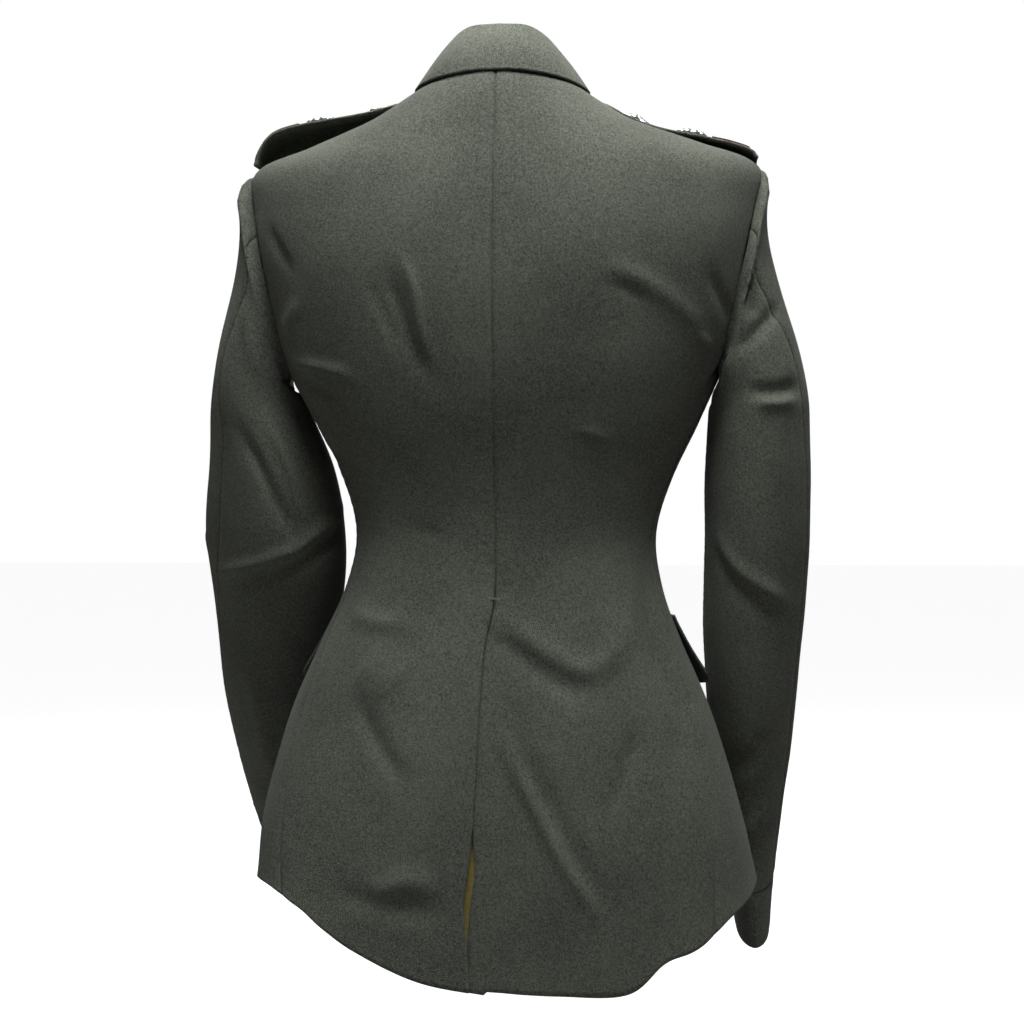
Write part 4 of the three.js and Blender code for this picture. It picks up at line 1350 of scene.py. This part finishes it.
def worn(grid, inside, creases, seams, seed, calm=()):
    """How far the cloth of a piece moves out: creases, swell, seams and puckers."""
    cut = settings().cut
    outward = faced(grid, inside)
    lift = cut.crease * crease_field(grid, outward, creases)
    lift = lift + cut.swell / MM * wobble(grid, 85.0, seed)
    edges = edge_distance(grid)
    alongs = [edges[2], edges[2], edges[0], edges[0]]
    for k in seams:
        lift = lift + seam_dip(edges[k]) + pucker(edges[k], alongs[k])
    for k in calm:
        lift = lift * smooth(edges[k], 0, 9)
    return lift


def axis_inside(grid):
    """Points inside the body, level with the grid."""
    inside = np.zeros_like(grid)
    inside[..., 2] = grid[..., 2]
    return inside


def make_back(side):
    """One back; the left one laps over the right down the vent."""
    rows, columns = panel_rows(PANEL_PARTS), np.linspace(0, 1, PANEL_COLUMNS)
    angle, station = back_grid(side, rows, columns)
    sink = 0 * angle if side > 0 else back_sink(angle, station)
    grid = torso_out(angle, station, -sink)
    lift = worn(grid, axis_inside(grid), body_creases(), [0, 1], 11)
    # the vent's edge is free: no seam below its top
    free = 1 - smooth(station, VENT_TOP - 0.12, VENT_TOP)
    centre = edge_distance(grid)[0]
    lift = lift - free * (seam_dip(centre) + pucker(centre, edge_distance(grid)[2]))
    name = f"back_{WORDS[side]}"
    obj = cloth_mesh(name, grid, axis_inside(grid), settings().cut.cloth / MM, lift)
    return cloth_piece(obj, name, *CUTS[name])


def make_front(side):
    """One front; the left one laps over the right."""
    rows, columns = panel_rows(PANEL_PARTS), np.linspace(0, 1, PANEL_COLUMNS + 6)
    angle, station = front_grid(side, rows, columns)
    sink = 0 * angle if side > 0 else front_sink(angle, station)
    grid = torso_out(angle, station, -sink)
    lift = worn(grid, axis_inside(grid), body_creases(), [0], 11, calm=[1])
    name = f"front_{WORDS[side]}"
    obj = cloth_mesh(name, grid, axis_inside(grid), settings().cut.cloth / MM, lift)
    return cloth_piece(obj, name, *CUTS["front"])


def lapel_grid(side, columns, rows):
    """The lapel lies on the front and rolls round the front's edge."""
    out = LAY + CLOTH + 0.4
    v = np.linspace(0, 1, rows)
    inner_angle, inner_station = roll_line(mix(LAPEL_FOOT, LAPEL_TOP, v), side)
    foot = mix(BREAK, NECK, LAPEL_FOOT) - 0.1
    station = mix(foot, LAPEL_TIP["station"], v)
    x = mix(8, LAPEL_TIP["x"], v**1.1) + 7 * np.sin(np.pi * v)
    outer_angle = side * angle_at_x(x, station, True)
    u = np.linspace(0, 1, columns)[None, :]
    angle = mix(inner_angle[:, None], outer_angle[:, None], u)
    where = mix(inner_station[:, None], station[:, None], u)
    roll = 3 * np.sin(np.pi * np.clip(u * 1.4, 0, 1)) * v[:, None]
    sink = 0 if side > 0 else front_sink(angle, where)
    flat = torso_out(angle, where, out + roll - sink)
    # the rolled edge: half a turn about the edge of the front
    edge, normal = flat[:, 0], torso_normal(angle[:, 0], where[:, 0])
    away = flat[:, 0] - flat[:, 1]
    away = unit(away - normal * np.sum(away * normal, -1, keepdims=True))
    radius = out + CLOTH / 2
    turns = np.linspace(np.pi, 0, 12, endpoint=False)
    wrap = [
        edge + radius * (away * np.sin(t) + normal * (np.cos(t) - 1)) for t in turns
    ]
    return np.concatenate([np.stack(wrap, 1), flat], 1)


def make_lapel(side):
    """One lapel, pressed and stitched along its three free edges."""
    grid = lapel_grid(side, 54, 90)
    centre = np.zeros_like(grid)
    centre[..., 2] = grid[..., 2]
    flat_normals = normals(grid)
    outside = flat_normals[:, 30] * (grid[:, 30] - centre[:, 30])
    sign = 1 if outside.sum() > 0 else -1
    inside = grid - sign * flat_normals * 10
    lift = 0.5 * wobble(grid, 60.0, 5) + stitched_dip(edge_distance(grid)[1:])
    name = f"lapel_{WORDS[side]}"
    obj = cloth_mesh(name, grid, inside, CLOTH, lift)
    return cloth_piece(obj, name, *CUTS["lapel"])


def collar_grid(columns=250):
    """One cloth: the fall from its edge up, over the fold, and the stand down to the neck."""
    angle = np.linspace(-COLLAR_END, COLLAR_END, columns)
    fall = [collar_fall(angle, np.full(columns, v)) for v in np.linspace(1, 0, 34)]
    top, below = fall[-1], fall[-2]
    up = unit(top - below)
    along = np.gradient(top, axis=0)
    out = unit(np.cross(along, up))
    out = np.where(np.sum(out * outward_flat(top), -1, keepdims=True) > 0, out, -out)
    radius = 3.4
    turns = np.linspace(0, np.pi, 12)[1:]
    roll = [top + radius * (up * np.sin(t) - out * (1 - np.cos(t))) for t in turns]
    leg = roll[-1]
    seam = torso(angle, np.full(columns, NECK)) - outward_flat(top) * 4.4
    seam[:, 2] += 0.6
    short = leg - up * 3.0
    share = 1 - smooth(np.abs(angle), STAND_END - 12, STAND_END + 14)
    foot = mix(short, seam, share[:, None])
    stand = []
    for v in np.linspace(0, 1, 15)[1:]:
        point = mix(leg, foot, v)
        stand.append(point - out * (1.2 * np.sin(np.pi * v)) * share[:, None])
    return np.stack(fall + roll + stand, 0), len(fall)


def make_collar():
    """The fall and the stand as one folded cloth."""
    grid, fall_rows = collar_grid()
    flat_normals = normals(grid)
    outside = np.sum(flat_normals[:fall_rows] * outward_flat(grid[:fall_rows]))
    inside = grid - (1 if outside > 0 else -1) * flat_normals * 10
    edges = edge_distance(grid)
    lift = 0.7 * wobble(grid, 70.0, 8) + stitched_dip(edges[:3])
    lift = lift * smooth(edges[3], 0, 12)
    obj = cloth_mesh("collar", grid, inside, CLOTH, lift)
    nodes = ["collar_fall", "collar_stand"]
    return cloth_piece(obj, "collar", *CUTS["collar"], held="folded", nodes=nodes)


def sleeve_inside(side, grid, share):
    corners = [sleeve_point(side, a, share) for a in (0.0, 90.0, 180.0, 270.0)]
    return np.broadcast_to((sum(corners) / 4)[:, None, :], grid.shape)


def make_sleeve(side, name):
    """The top or under half of a sleeve, from the armhole to the cuff."""
    end = cuff_share(side)
    share = np.concatenate([np.linspace(0, HEAD_SHARE, 14)[:-1], np.linspace(HEAD_SHARE, end, 186)])
    columns = np.linspace(0, 1, 84 if name == "top" else 60)
    around, where = sleeve_grid(side, name, share, columns)
    grid = sleeve_point(side, around, where)
    inside = sleeve_inside(side, grid, share)
    lift = worn(grid, inside, sleeve_creases(side), [0, 1, 3], 21 + side)
    lift = lift * smooth(edge_distance(grid)[2], -1, 7)
    # the head closes up to the armhole's edge
    close = np.exp(-((edge_distance(grid)[2] / 3.0) ** 2))
    under = smooth(1 - np.cos(np.radians(around)), 0.9, 1.5)
    grid = grid - np.stack([side * mix(1.1, 3.2, under) * close, 0 * close, -1.5 * under * close], -1)
    node_name = f"{name}_sleeve_{WORDS[side]}"
    obj = cloth_mesh(node_name, grid, inside, settings().cut.cloth / MM, lift)
    return cloth_piece(obj, node_name, *CUTS[node_name])


def make_cuff(side):
    """The band below the cuff seam, one closed tube."""
    share = np.linspace(cuff_share(side) + 0.0006, 1, 24)
    around = np.linspace(0, 360, 121)[None, :] + 0 * share[:, None]
    where = share[:, None] + 0 * around
    grid = sleeve_point(side, around, where)
    inside = sleeve_inside(side, grid, share)
    edges = edge_distance(grid)
    swell = wobble(grid, 60.0, 31 + side)
    turned_end = 0.35 * np.exp(-(((edges[3] - 8) / 5) ** 2))
    lift = 0.8 * swell * smooth(edges[2], 0, 10) + seam_dip(edges[2]) + turned_end
    name = f"cuff_{WORDS[side]}"
    obj = cloth_mesh(name, grid, inside, settings().cut.cloth / MM, lift, closed=True)
    return cloth_piece(obj, name, *CUTS["cuff"])


def strap_place(side, u, v):
    """x along a strap and y across it, its neck end narrowed to a blunt point."""
    rows = STRAPS[side]
    x = column(rows, "x", u * (len(rows["x"]) - 1))
    wide = mix(STRAP_NARROW, STRAP_WIDE, u) * mix(0.45, 1, smooth(u, 0, 0.12))
    return x, wide * (v - 0.5)


def make_strap(side):
    """A shoulder strap, stitched all round."""
    u, v = np.meshgrid(np.linspace(0, 1, 110), np.linspace(0, 1, 34))
    grid = strap_point(side, *strap_place(side, u, v))
    lift = 0.25 * wobble(grid, 40.0, 41) + stitched_dip(edge_distance(grid), 0.4, 3)
    inside = grid - strap_normal(side, *strap_place(side, u, v)) * 5
    name = f"shoulder_strap_{WORDS[side]}"
    obj = cloth_mesh(name, grid, inside, STRAP_WALL, lift, 0.5)
    return cloth_piece(obj, name, *CUTS["strap"])


def on_strap(side, x, y, high):
    """A point standing some way off a strap."""
    return strap_point(side, x, y) + strap_normal(side, x, y) * high[..., None]


def ring_faces(rings, spokes):
    """Faces between rings of points, closed by a point at each end, which come after the rings."""
    faces = []
    for k in range(rings - 1):
        near, far = k * spokes, (k + 1) * spokes
        for i in range(spokes):
            j = (i + 1) % spokes
            faces.append((near + i, near + j, far + j, far + i))
    first_end = rings * spokes
    last = first_end - spokes
    for i in range(spokes):
        j = (i + 1) % spokes
        faces.append((first_end, j, i))
        faces.append((first_end + 1, last + i, last + j))
    return faces


def emblem(side, name, centre, outline, height, spokes):
    """A solid raised on a strap: outline gives its radius by direction, height its relief."""
    turn = np.linspace(0, 2 * np.pi, spokes, endpoint=False)
    shares = np.concatenate([np.linspace(0.06, 1, 16), [1.0]])
    radius = outline(turn)
    rings = []
    for k, share in enumerate(shares):
        x = centre + radius * share * np.cos(turn)
        y = ORNAMENT["rear"] + radius * share * np.sin(turn)
        high = LAY + (0 * turn if k == len(shares) - 1 else height(share, turn))
        rings.append(on_strap(side, x, y, high))
    middle = np.array([centre]), np.array([ORNAMENT["rear"]])
    top = on_strap(side, *middle, np.array([LAY + height(0.0, 0.0)]))
    base = on_strap(side, *middle, np.array([LAY]))
    obj = solid(name, np.concatenate(rings + [top, base]), ring_faces(len(rings), spokes))
    return finish_piece(obj, MATERIALS["silver"](), "silver", [name])


def make_pip(side):
    """A four-cornered stepped pip with a round boss."""
    size = ORNAMENT["radius"]

    def outline(t):
        return size * (0.42 + 0.58 * np.abs(np.cos(2 * t)) ** 1.6)

    def height(f, t):
        ridge = 0.9 * np.abs(np.cos(2 * t)) ** 3 * (1 - f)
        boss = 1.04 * (1 - smooth(f, 0.16, 0.26))
        return ORNAMENT["rim"] + 3.6 * (1 - f) ** 0.7 + ridge + boss

    return emblem(side, f"strap_pip_{WORDS[side]}", ORNAMENT["pip"], outline, height, 64)


def make_rosette(side):
    """A plain rosette: ten petals round a boss."""
    size = ORNAMENT["radius"]

    def outline(t):
        return size * (0.84 + 0.16 * np.abs(np.cos(5 * t)) ** 0.7)

    def height(f, t):
        petal = 0.9 * np.abs(np.cos(5 * t)) * smooth(f, 0.3, 0.55) * (1 - smooth(f, 0.8, 1.05))
        boss = 1.6 * (1 - smooth(f, 0.2, 0.32))
        return ORNAMENT["rim"] + 2.8 * np.sqrt(max(0, 1 - (f * 0.98) ** 2)) + petal + boss

    return emblem(side, f"strap_rosette_{WORDS[side]}", ORNAMENT["rosette"], outline, height, 100)


def make_tab(side):
    """The ribbed coloured tab at the end of a strap."""
    u, v = np.meshgrid(np.linspace(0, 1, 66), np.linspace(0, 1, 44))
    x, y = mix(TAB["from"], TAB["to"], u), TAB["wide"] * (v - 0.5)
    normal = strap_normal(side, x, y)
    grid = strap_point(side, x, y) + normal * (2 * LAY + TAB["thick"])
    edges = edge_distance(grid)
    rib = 0.12 * np.sin(2 * np.pi * edges[0] / 2.2)
    lift = rib - 0.3 * np.exp(-(((np.minimum(edges[2], edges[3]) - 2) / 0.8) ** 2))
    name = f"strap_tab_{WORDS[side]}"
    obj = cloth_mesh(name, grid, grid - normal * 5, TAB["thick"], lift)
    return cloth_piece(obj, name, *CUTS["tab"], slot="red_cloth", material="red_cloth")


def flap_grid(side, columns=70, rows=42):
    u, v = np.meshgrid(np.linspace(0, 1, columns), np.linspace(0, 1, rows))
    stand = FLAP["stand"][side]
    angle = side * mix(FLAP["rear"], FLAP["front"], u)
    corner = 0.12 * (np.abs(2 * u - 1) ** 6)
    station = mix(FLAP["top"], FLAP["bottom"] + corner, v)
    away = stand * v**1.6 * mix(1, 0.35, smooth(u, 0, 0.6))
    return torso_out(angle, station, LAY + 0.6 + CLOTH + away)


def make_flap(side):
    """A pocket flap, sewn at its top edge."""
    grid = flap_grid(side)
    edges = edge_distance(grid)
    lift = 0.5 * wobble(grid, 50.0, 51) + stitched_dip([edges[k] for k in (0, 1, 3)])
    lift = lift * smooth(edges[2], -2, 6)
    name = f"hip_flap_{WORDS[side]}"
    obj = cloth_mesh(name, grid, axis_inside(grid), CLOTH, lift)
    return cloth_piece(obj, name, *CUTS["flap"])


def make_vent_lining():
    station = np.linspace(VENT_LINING["bottom"] - LINING_TAIL, VENT_LINING["top"], 150)
    x = vent_lap(station)[:, None] + np.linspace(VENT_LINING["right"], VENT_LINING["left"], 18)[None, :]
    where = station[:, None] + 0 * x
    angle = angle_at_x(x, where, False)
    grid = torso_out(angle, where, -(SUNK + CLOTH + 3 * LAY) + 0 * angle)
    lift = 0.5 * wobble(grid, 35.0, 61)
    thick = settings().cut.lining / MM
    obj = cloth_mesh("vent_lining", grid, axis_inside(grid), thick, np.minimum(lift, 0.1))
    cut = CUTS["vent_lining"]
    return cloth_piece(obj, "vent_lining", *cut, slot="lining", material="lining")


BUTTON_PROFILE = [
    # radius, height in mm, from the cloth up
    (0, 0),
    (7.6, 0),
    (9.1, 0.3),
    (9.5, 0.9),
    (9.45, 1.5),
    (9, 1.95),
    (8.3, 2.05),
    (7.9, 1.9),
    (7.7, 2.15),
    (6.9, 2.95),
    (5.4, 3.95),
    (3.6, 4.7),
    (1.8, 5.1),
    (0, 5.2),
]


def make_button(number, station):
    """A domed button, turned about its own axis."""
    angle = angle_at_x(BUTTON_X, np.array([station]), True)
    out = torso_normal(angle, np.array([station]))[0]
    foot = torso_out(angle, np.array([station]), np.array([LAY / 3]))[0]
    across = unit(np.cross(out, [0, 0, 1.0]))
    up = np.cross(across, out)
    spokes = 56
    turn = np.linspace(0, 2 * np.pi, spokes, endpoint=False)
    ring_points = []
    for radius, height in BUTTON_PROFILE[1:-1]:
        ring_points.append(
            foot
            + out * height
            + radius * (across * np.cos(turn)[:, None] + up * np.sin(turn)[:, None])
        )
    points = np.concatenate(ring_points + [[foot], [foot + out * BUTTON_PROFILE[-1][1]]])
    name = f"front_button_{number}"
    obj = solid(name, points, ring_faces(len(ring_points), spokes))
    return finish_piece(obj, MATERIALS["silver"](), "silver", [name])


# ---------------------------------------------------------------- topstitching
def stitch_tree():
    """Geometry nodes that lay stitches along edges."""
    tree = bpy.data.node_groups.new("topstitch", "GeometryNodeTree")
    face = tree.interface
    face.new_socket(name="Path", in_out="INPUT", socket_type="NodeSocketGeometry")
    for label in ("Pitch", "Length", "Thickness"):
        face.new_socket(name=label, in_out="INPUT", socket_type="NodeSocketFloat")
    face.new_socket(name="Material", in_out="INPUT", socket_type="NodeSocketMaterial")
    face.new_socket(name="Stitches", in_out="OUTPUT", socket_type="NodeSocketGeometry")
    given, result = tree.nodes.new("NodeGroupInput"), tree.nodes.new("NodeGroupOutput")
    curve = node(tree, "GeometryNodeMeshToCurve", {"Mesh": given.outputs["Path"]})
    points = node(
        tree, "GeometryNodeCurveToPoints",
        {"Curve": curve.outputs[0], "Length": given.outputs["Pitch"]}, mode="LENGTH",
    )
    bead = node(
        tree, "GeometryNodeMeshUVSphere", {"Segments": 6, "Rings": 5, "Radius": 0.5}
    )
    size = node(
        tree, "ShaderNodeCombineXYZ",
        {"X": given.outputs["Thickness"], "Y": given.outputs["Thickness"], "Z": given.outputs["Length"]},
    )
    # the thread slants a little in the row, with a fixed seed
    slant = node(
        tree, "FunctionNodeRandomValue",
        {"Min": (-0.08, -0.08, 0.0), "Max": (0.08, 0.08, 0.0), "Seed": 3}, data_type="FLOAT_VECTOR",
    )
    turned = node(
        tree, "FunctionNodeRotateRotation",
        {"Rotation": points.outputs["Rotation"], "Rotate By": slant.outputs["Value"]},
        rotation_space="LOCAL",
    )
    laid = node(
        tree, "GeometryNodeInstanceOnPoints",
        {
            "Points": points.outputs["Points"],
            "Instance": bead.outputs["Mesh"],
            "Rotation": turned.outputs[0],
            "Scale": size.outputs[0],
        },
    )
    smooth_shade = node(tree, "GeometryNodeSetShadeSmooth", {"Geometry": laid.outputs[0]})
    real = node(tree, "GeometryNodeRealizeInstances", {"Geometry": smooth_shade.outputs[0]})
    finish = node(
        tree, "GeometryNodeSetMaterial",
        {"Geometry": real.outputs[0], "Material": given.outputs["Material"]},
    )
    tree.links.new(finish.outputs[0], result.inputs[0])
    return tree


def stitch_row(tree, name, paths, pitch, length, thick, material):
    """Stitches along several paths in mm, as one plain mesh."""
    points, edges, start = [], [], 0
    for path in paths:
        points.append(path)
        edges += [(start + i, start + i + 1) for i in range(len(path) - 1)]
        start += len(path)
    mesh = bpy.data.meshes.new(f"{name}_path")
    mesh.from_pydata((np.concatenate(points) * MM).tolist(), edges, [])
    guide = bpy.data.objects.new(f"{name}_path", mesh)
    bpy.context.scene.collection.objects.link(guide)
    modifier = guide.modifiers.new("topstitch", "NODES")
    modifier.node_group = tree
    values = {"Pitch": pitch, "Length": length, "Thickness": thick, "Material": material}
    for item in tree.interface.items_tree:
        if item.in_out == "INPUT" and item.name in values:
            modifier[item.identifier] = values[item.name]
    bpy.context.view_layer.update()
    depsgraph = bpy.context.evaluated_depsgraph_get()
    made = bpy.data.meshes.new_from_object(guide.evaluated_get(depsgraph))
    made.name = name
    if not len(made.polygons):
        raise RuntimeError(f"{name} came out empty")
    guide.modifiers.remove(modifier)
    bpy.data.objects.remove(guide)
    bpy.data.meshes.remove(mesh)
    obj = bpy.data.objects.new(name, made)
    bpy.context.scene.collection.objects.link(obj)
    return finish_piece(obj, material, "wool", [])


def inset_loop(grid, inset, edges, lift, inside):
    """Lines inset from chosen edges of a grid, lying on the cloth's outside."""
    raised = grid + faced(grid, inside) * lift
    distance = edge_distance(grid)
    lines = []
    for k in edges:
        # the first two edges run down the rows, the other two across them
        down = k < 2
        points, *away = [a if down else np.swapaxes(a, 0, 1) for a in (raised, *distance)]
        line = np.array([inset_at(p, d, inset) for p, d in zip(points, away[k])])
        keep = np.ones(len(line), bool)
        for end in (2, 3) if down else (0, 1):
            if end in edges:
                keep &= away[end][:, 0 if k in (0, 2) else -1] > inset
        lines.append(line[keep])
    return lines


def inset_at(points, distance, inset):
    order = np.argsort(distance)
    return np.array([np.interp(inset, distance[order], points[order, c]) for c in range(3)])


def stitch_lines():
    """Every line of topstitching, in mm."""
    inset = settings().stitches.inset / MM
    grid, fall_rows = collar_grid()
    grid = grid[:fall_rows]
    fall_inside = grid - outward_flat(grid) * 10
    lines = inset_loop(grid, inset, [0, 1, 2], -0.3, fall_inside)
    for side in (1, -1):
        grid = lapel_grid(side, 54, 90)[:, 12:]
        lines += inset_loop(grid, inset, [1, 2, 3], -0.2, axis_inside(grid))
        grid = flap_grid(side)
        lines += inset_loop(grid, inset, [0, 1, 3], -0.2, axis_inside(grid))
        u, v = np.meshgrid(np.linspace(0, 1, 110), np.linspace(0, 1, 34))
        place = strap_place(side, u, v)
        grid = strap_point(side, *place)
        under = grid - strap_normal(side, *place) * 5
        lines += inset_loop(grid, inset, [0, 2, 3], -0.25, under)
    return lines


def bar_tack():
    """Close stitches across the top of the vent."""
    x = np.linspace(-4.5, 4.5, 10)
    station = np.full(x.shape, VENT_TOP + 0.02)
    angle = angle_at_x(x, station, False)
    return [torso_out(angle, station + row, 0.35 + 0 * x) for row in (-0.012, 0.0, 0.012)]


def make_stitches():
    sizes = settings().stitches
    tree = stitch_tree()
    thread = MATERIALS["thread"]()
    stitch_row(tree, "topstitching", stitch_lines(), sizes.pitch, sizes.length, sizes.thick, thread)
    stitch_row(tree, "vent_bar_tack", bar_tack(), 0.0011, 0.0013, 0.0008, thread)


# ---------------------------------------------------------------- stage
MIDDLE = (0, 0, -0.35)
# name, place, aim, size, the power it takes a share of, and the share
LIGHTS = [
    ("top_light", (-0.1, 0.36, 0.92), (0, 0.05, -0.2), 0.7, "top", 1.0),
    ("left_light", (1.7, 1.2, 0.5), MIDDLE, 1.0, "fill", 2.4),
    ("right_light", (-1.1, 2.0, 0.3), MIDDLE, 1.0, "fill", 0.4),
    ("front_light", (0.3, -1.5, 1.0), MIDDLE, 1.2, "top", 0.7),
]
WHITE = (1, 1, 1, 1)
FLOOR_WIDE = 30
FLOOR_BELOW = 0.12
FLOOR_GLOW = 0.93
CAMERA_AWAY = 1.5
CAMERA_LEVEL = -0.37
CAMERA_SHIFT = 0.007324
SENSOR = 36


def area_light(name, place, target, size, power):
    data = bpy.data.lights.new(name, "AREA")
    data.shape, data.size, data.energy = "SQUARE", size, power
    light = bpy.data.objects.new(name, data)
    bpy.context.scene.collection.objects.link(light)
    light.location = place
    light.rotation_euler = (Vector(target) - Vector(place)).to_track_quat("-Z", "Y").to_euler()
    return light


def make_stage():
    """Floor, lights, surround and camera."""
    stage = settings().stage
    low = CAD_BOX[0].z
    bpy.ops.mesh.primitive_plane_add(size=FLOOR_WIDE, location=(0, 0, low - FLOOR_BELOW))
    floor = bpy.context.object
    floor.name = "floor"
    material, tree, shader = principled("floor", Roughness=0.7)
    place = node(tree, "ShaderNodeTexCoord").outputs["Object"]
    grain = node(tree, "ShaderNodeTexNoise", {"Vector": place, "Scale": 0.8})
    duller = colour([v * 0.97 for v in stage.floor])
    tint = mixed(tree, grain.outputs["Fac"], colour(stage.floor), duller)
    tree.links.new(tint, shader.inputs["Base Color"])
    # the floor is pale as far as it reaches, and lights nothing
    seen = node(tree, "ShaderNodeLightPath").outputs["Is Camera Ray"]
    glow = node(tree, "ShaderNodeMath", {0: seen, 1: FLOOR_GLOW}, operation="MULTIPLY")
    shader.inputs["Emission Color"].default_value = WHITE
    tree.links.new(glow.outputs[0], shader.inputs["Emission Strength"])
    floor.data.materials.append(material)
    for name, place, aim, size, source, share in LIGHTS:
        area_light(name, place, aim, size, getattr(stage, source) * share)
    world = bpy.data.worlds.new("surround")
    bpy.context.scene.world = world
    world.use_nodes = True
    tree = world.node_tree
    back = tree.nodes["Background"]
    back.inputs["Color"].default_value = WHITE
    back.inputs["Strength"].default_value = stage.world
    seen = node(tree, "ShaderNodeBackground", {"Color": WHITE, "Strength": 1.0})
    path = node(tree, "ShaderNodeLightPath")
    both = node(tree, "ShaderNodeMixShader", {0: path.outputs["Is Camera Ray"]})
    tree.links.new(back.outputs[0], both.inputs[1])
    tree.links.new(seen.outputs[0], both.inputs[2])
    tree.links.new(both.outputs[0], tree.nodes["World Output"].inputs["Surface"])
    camera_data = bpy.data.cameras.new("camera")
    camera = bpy.data.objects.new("camera", camera_data)
    bpy.context.scene.collection.objects.link(camera)
    turn = stage.azimuth
    camera.location = (CAMERA_AWAY * math.sin(turn), -CAMERA_AWAY * math.cos(turn), CAMERA_LEVEL)
    camera.rotation_euler = (math.pi / 2, 0, turn)
    camera_data.lens = stage.lens
    camera_data.sensor_width = SENSOR
    camera_data.shift_x = CAMERA_SHIFT
    bpy.context.scene.camera = camera
    bpy.context.scene.view_settings.view_transform = "Standard"


# ---------------------------------------------------------------- the add-on
class TunicPiece:
    """What every step of the tunic shares."""

    bl_options = {"REGISTER", "UNDO"}

    def execute(self, context):
        self.build()
        return {"FINISHED"}


class TUNIC_OT_backs(TunicPiece, bpy.types.Operator):
    """Make both backs, with the vent"""

    bl_idname = "tunic.backs"
    bl_label = "Backs"

    def build(self):
        for side in (1, -1):
            make_back(side)


class TUNIC_OT_fronts(TunicPiece, bpy.types.Operator):
    """Make both fronts"""

    bl_idname = "tunic.fronts"
    bl_label = "Fronts"

    def build(self):
        for side in (1, -1):
            make_front(side)


class TUNIC_OT_lapels(TunicPiece, bpy.types.Operator):
    """Make both lapels"""

    bl_idname = "tunic.lapels"
    bl_label = "Lapels"

    def build(self):
        for side in (1, -1):
            make_lapel(side)


class TUNIC_OT_collar(TunicPiece, bpy.types.Operator):
    """Make the collar, fall and stand in one cloth"""

    bl_idname = "tunic.collar"
    bl_label = "Collar"

    def build(self):
        make_collar()


class TUNIC_OT_sleeves(TunicPiece, bpy.types.Operator):
    """Make the top and under sleeves"""

    bl_idname = "tunic.sleeves"
    bl_label = "Sleeves"

    def build(self):
        for side in (1, -1):
            for name in ("top", "under"):
                make_sleeve(side, name)


class TUNIC_OT_cuffs(TunicPiece, bpy.types.Operator):
    """Make both cuffs"""

    bl_idname = "tunic.cuffs"
    bl_label = "Cuffs"

    def build(self):
        for side in (1, -1):
            make_cuff(side)


class TUNIC_OT_straps(TunicPiece, bpy.types.Operator):
    """Make the shoulder straps and their coloured tabs"""

    bl_idname = "tunic.straps"
    bl_label = "Shoulder straps"

    def build(self):
        for side in (1, -1):
            make_strap(side)
            make_tab(side)


class TUNIC_OT_ornaments(TunicPiece, bpy.types.Operator):
    """Make the metal pips and rosettes"""

    bl_idname = "tunic.ornaments"
    bl_label = "Strap ornaments"

    def build(self):
        for side in (1, -1):
            make_pip(side)
            make_rosette(side)


class TUNIC_OT_flaps(TunicPiece, bpy.types.Operator):
    """Make the hip pocket flaps"""

    bl_idname = "tunic.flaps"
    bl_label = "Hip flaps"

    def build(self):
        for side in (1, -1):
            make_flap(side)


class TUNIC_OT_lining(TunicPiece, bpy.types.Operator):
    """Make the lining that shows in the vent"""

    bl_idname = "tunic.lining"
    bl_label = "Vent lining"

    def build(self):
        make_vent_lining()


class TUNIC_OT_buttons(TunicPiece, bpy.types.Operator):
    """Make the front buttons"""

    bl_idname = "tunic.buttons"
    bl_label = "Buttons"

    def build(self):
        for number, station in enumerate(BUTTON_STATIONS, 1):
            make_button(number, station)


class TUNIC_OT_stitches(TunicPiece, bpy.types.Operator):
    """Sew the topstitching and the bar tack"""

    bl_idname = "tunic.stitches"
    bl_label = "Topstitching"

    def build(self):
        make_stitches()


class TUNIC_OT_stage(TunicPiece, bpy.types.Operator):
    """Set the floor, light and camera"""

    bl_idname = "tunic.stage"
    bl_label = "Stage"

    def build(self):
        make_stage()


STEPS = (
    TUNIC_OT_backs,
    TUNIC_OT_fronts,
    TUNIC_OT_lapels,
    TUNIC_OT_collar,
    TUNIC_OT_sleeves,
    TUNIC_OT_cuffs,
    TUNIC_OT_straps,
    TUNIC_OT_ornaments,
    TUNIC_OT_flaps,
    TUNIC_OT_lining,
    TUNIC_OT_buttons,
    TUNIC_OT_stitches,
    TUNIC_OT_stage,
)


class TUNIC_PT_panel(bpy.types.Panel):
    """Lists the steps of the tunic in the sidebar"""

    bl_idname = "TUNIC_PT_panel"
    bl_label = "Military dress tunic"
    bl_space_type = "VIEW_3D"
    bl_region_type = "UI"
    bl_category = "Tunic"

    def draw(self, context):
        tunic = context.scene.tunic
        for group in (tunic.cut, tunic.colours, tunic.stitches, tunic.stage):
            box = self.layout.box()
            for name in group.bl_rna.properties.keys():
                if name not in ("name", "rna_type"):
                    box.prop(group, name)
        for step in STEPS:
            self.layout.operator(step.bl_idname)


CLASSES = (TunicCut, TunicColours, TunicStitches, TunicStage, Tunic, *STEPS, TUNIC_PT_panel)


def register():
    for cls in CLASSES:
        bpy.utils.register_class(cls)
    bpy.types.Scene.tunic = bpy.props.PointerProperty(type=Tunic)


def unregister():
    del bpy.types.Scene.tunic
    for cls in reversed(CLASSES):
        bpy.utils.unregister_class(cls)


def main():
    register()
    for step in STEPS:
        getattr(bpy.ops.tunic, step.bl_idname.split(".")[1])()


if __name__ == "__main__":
    main()
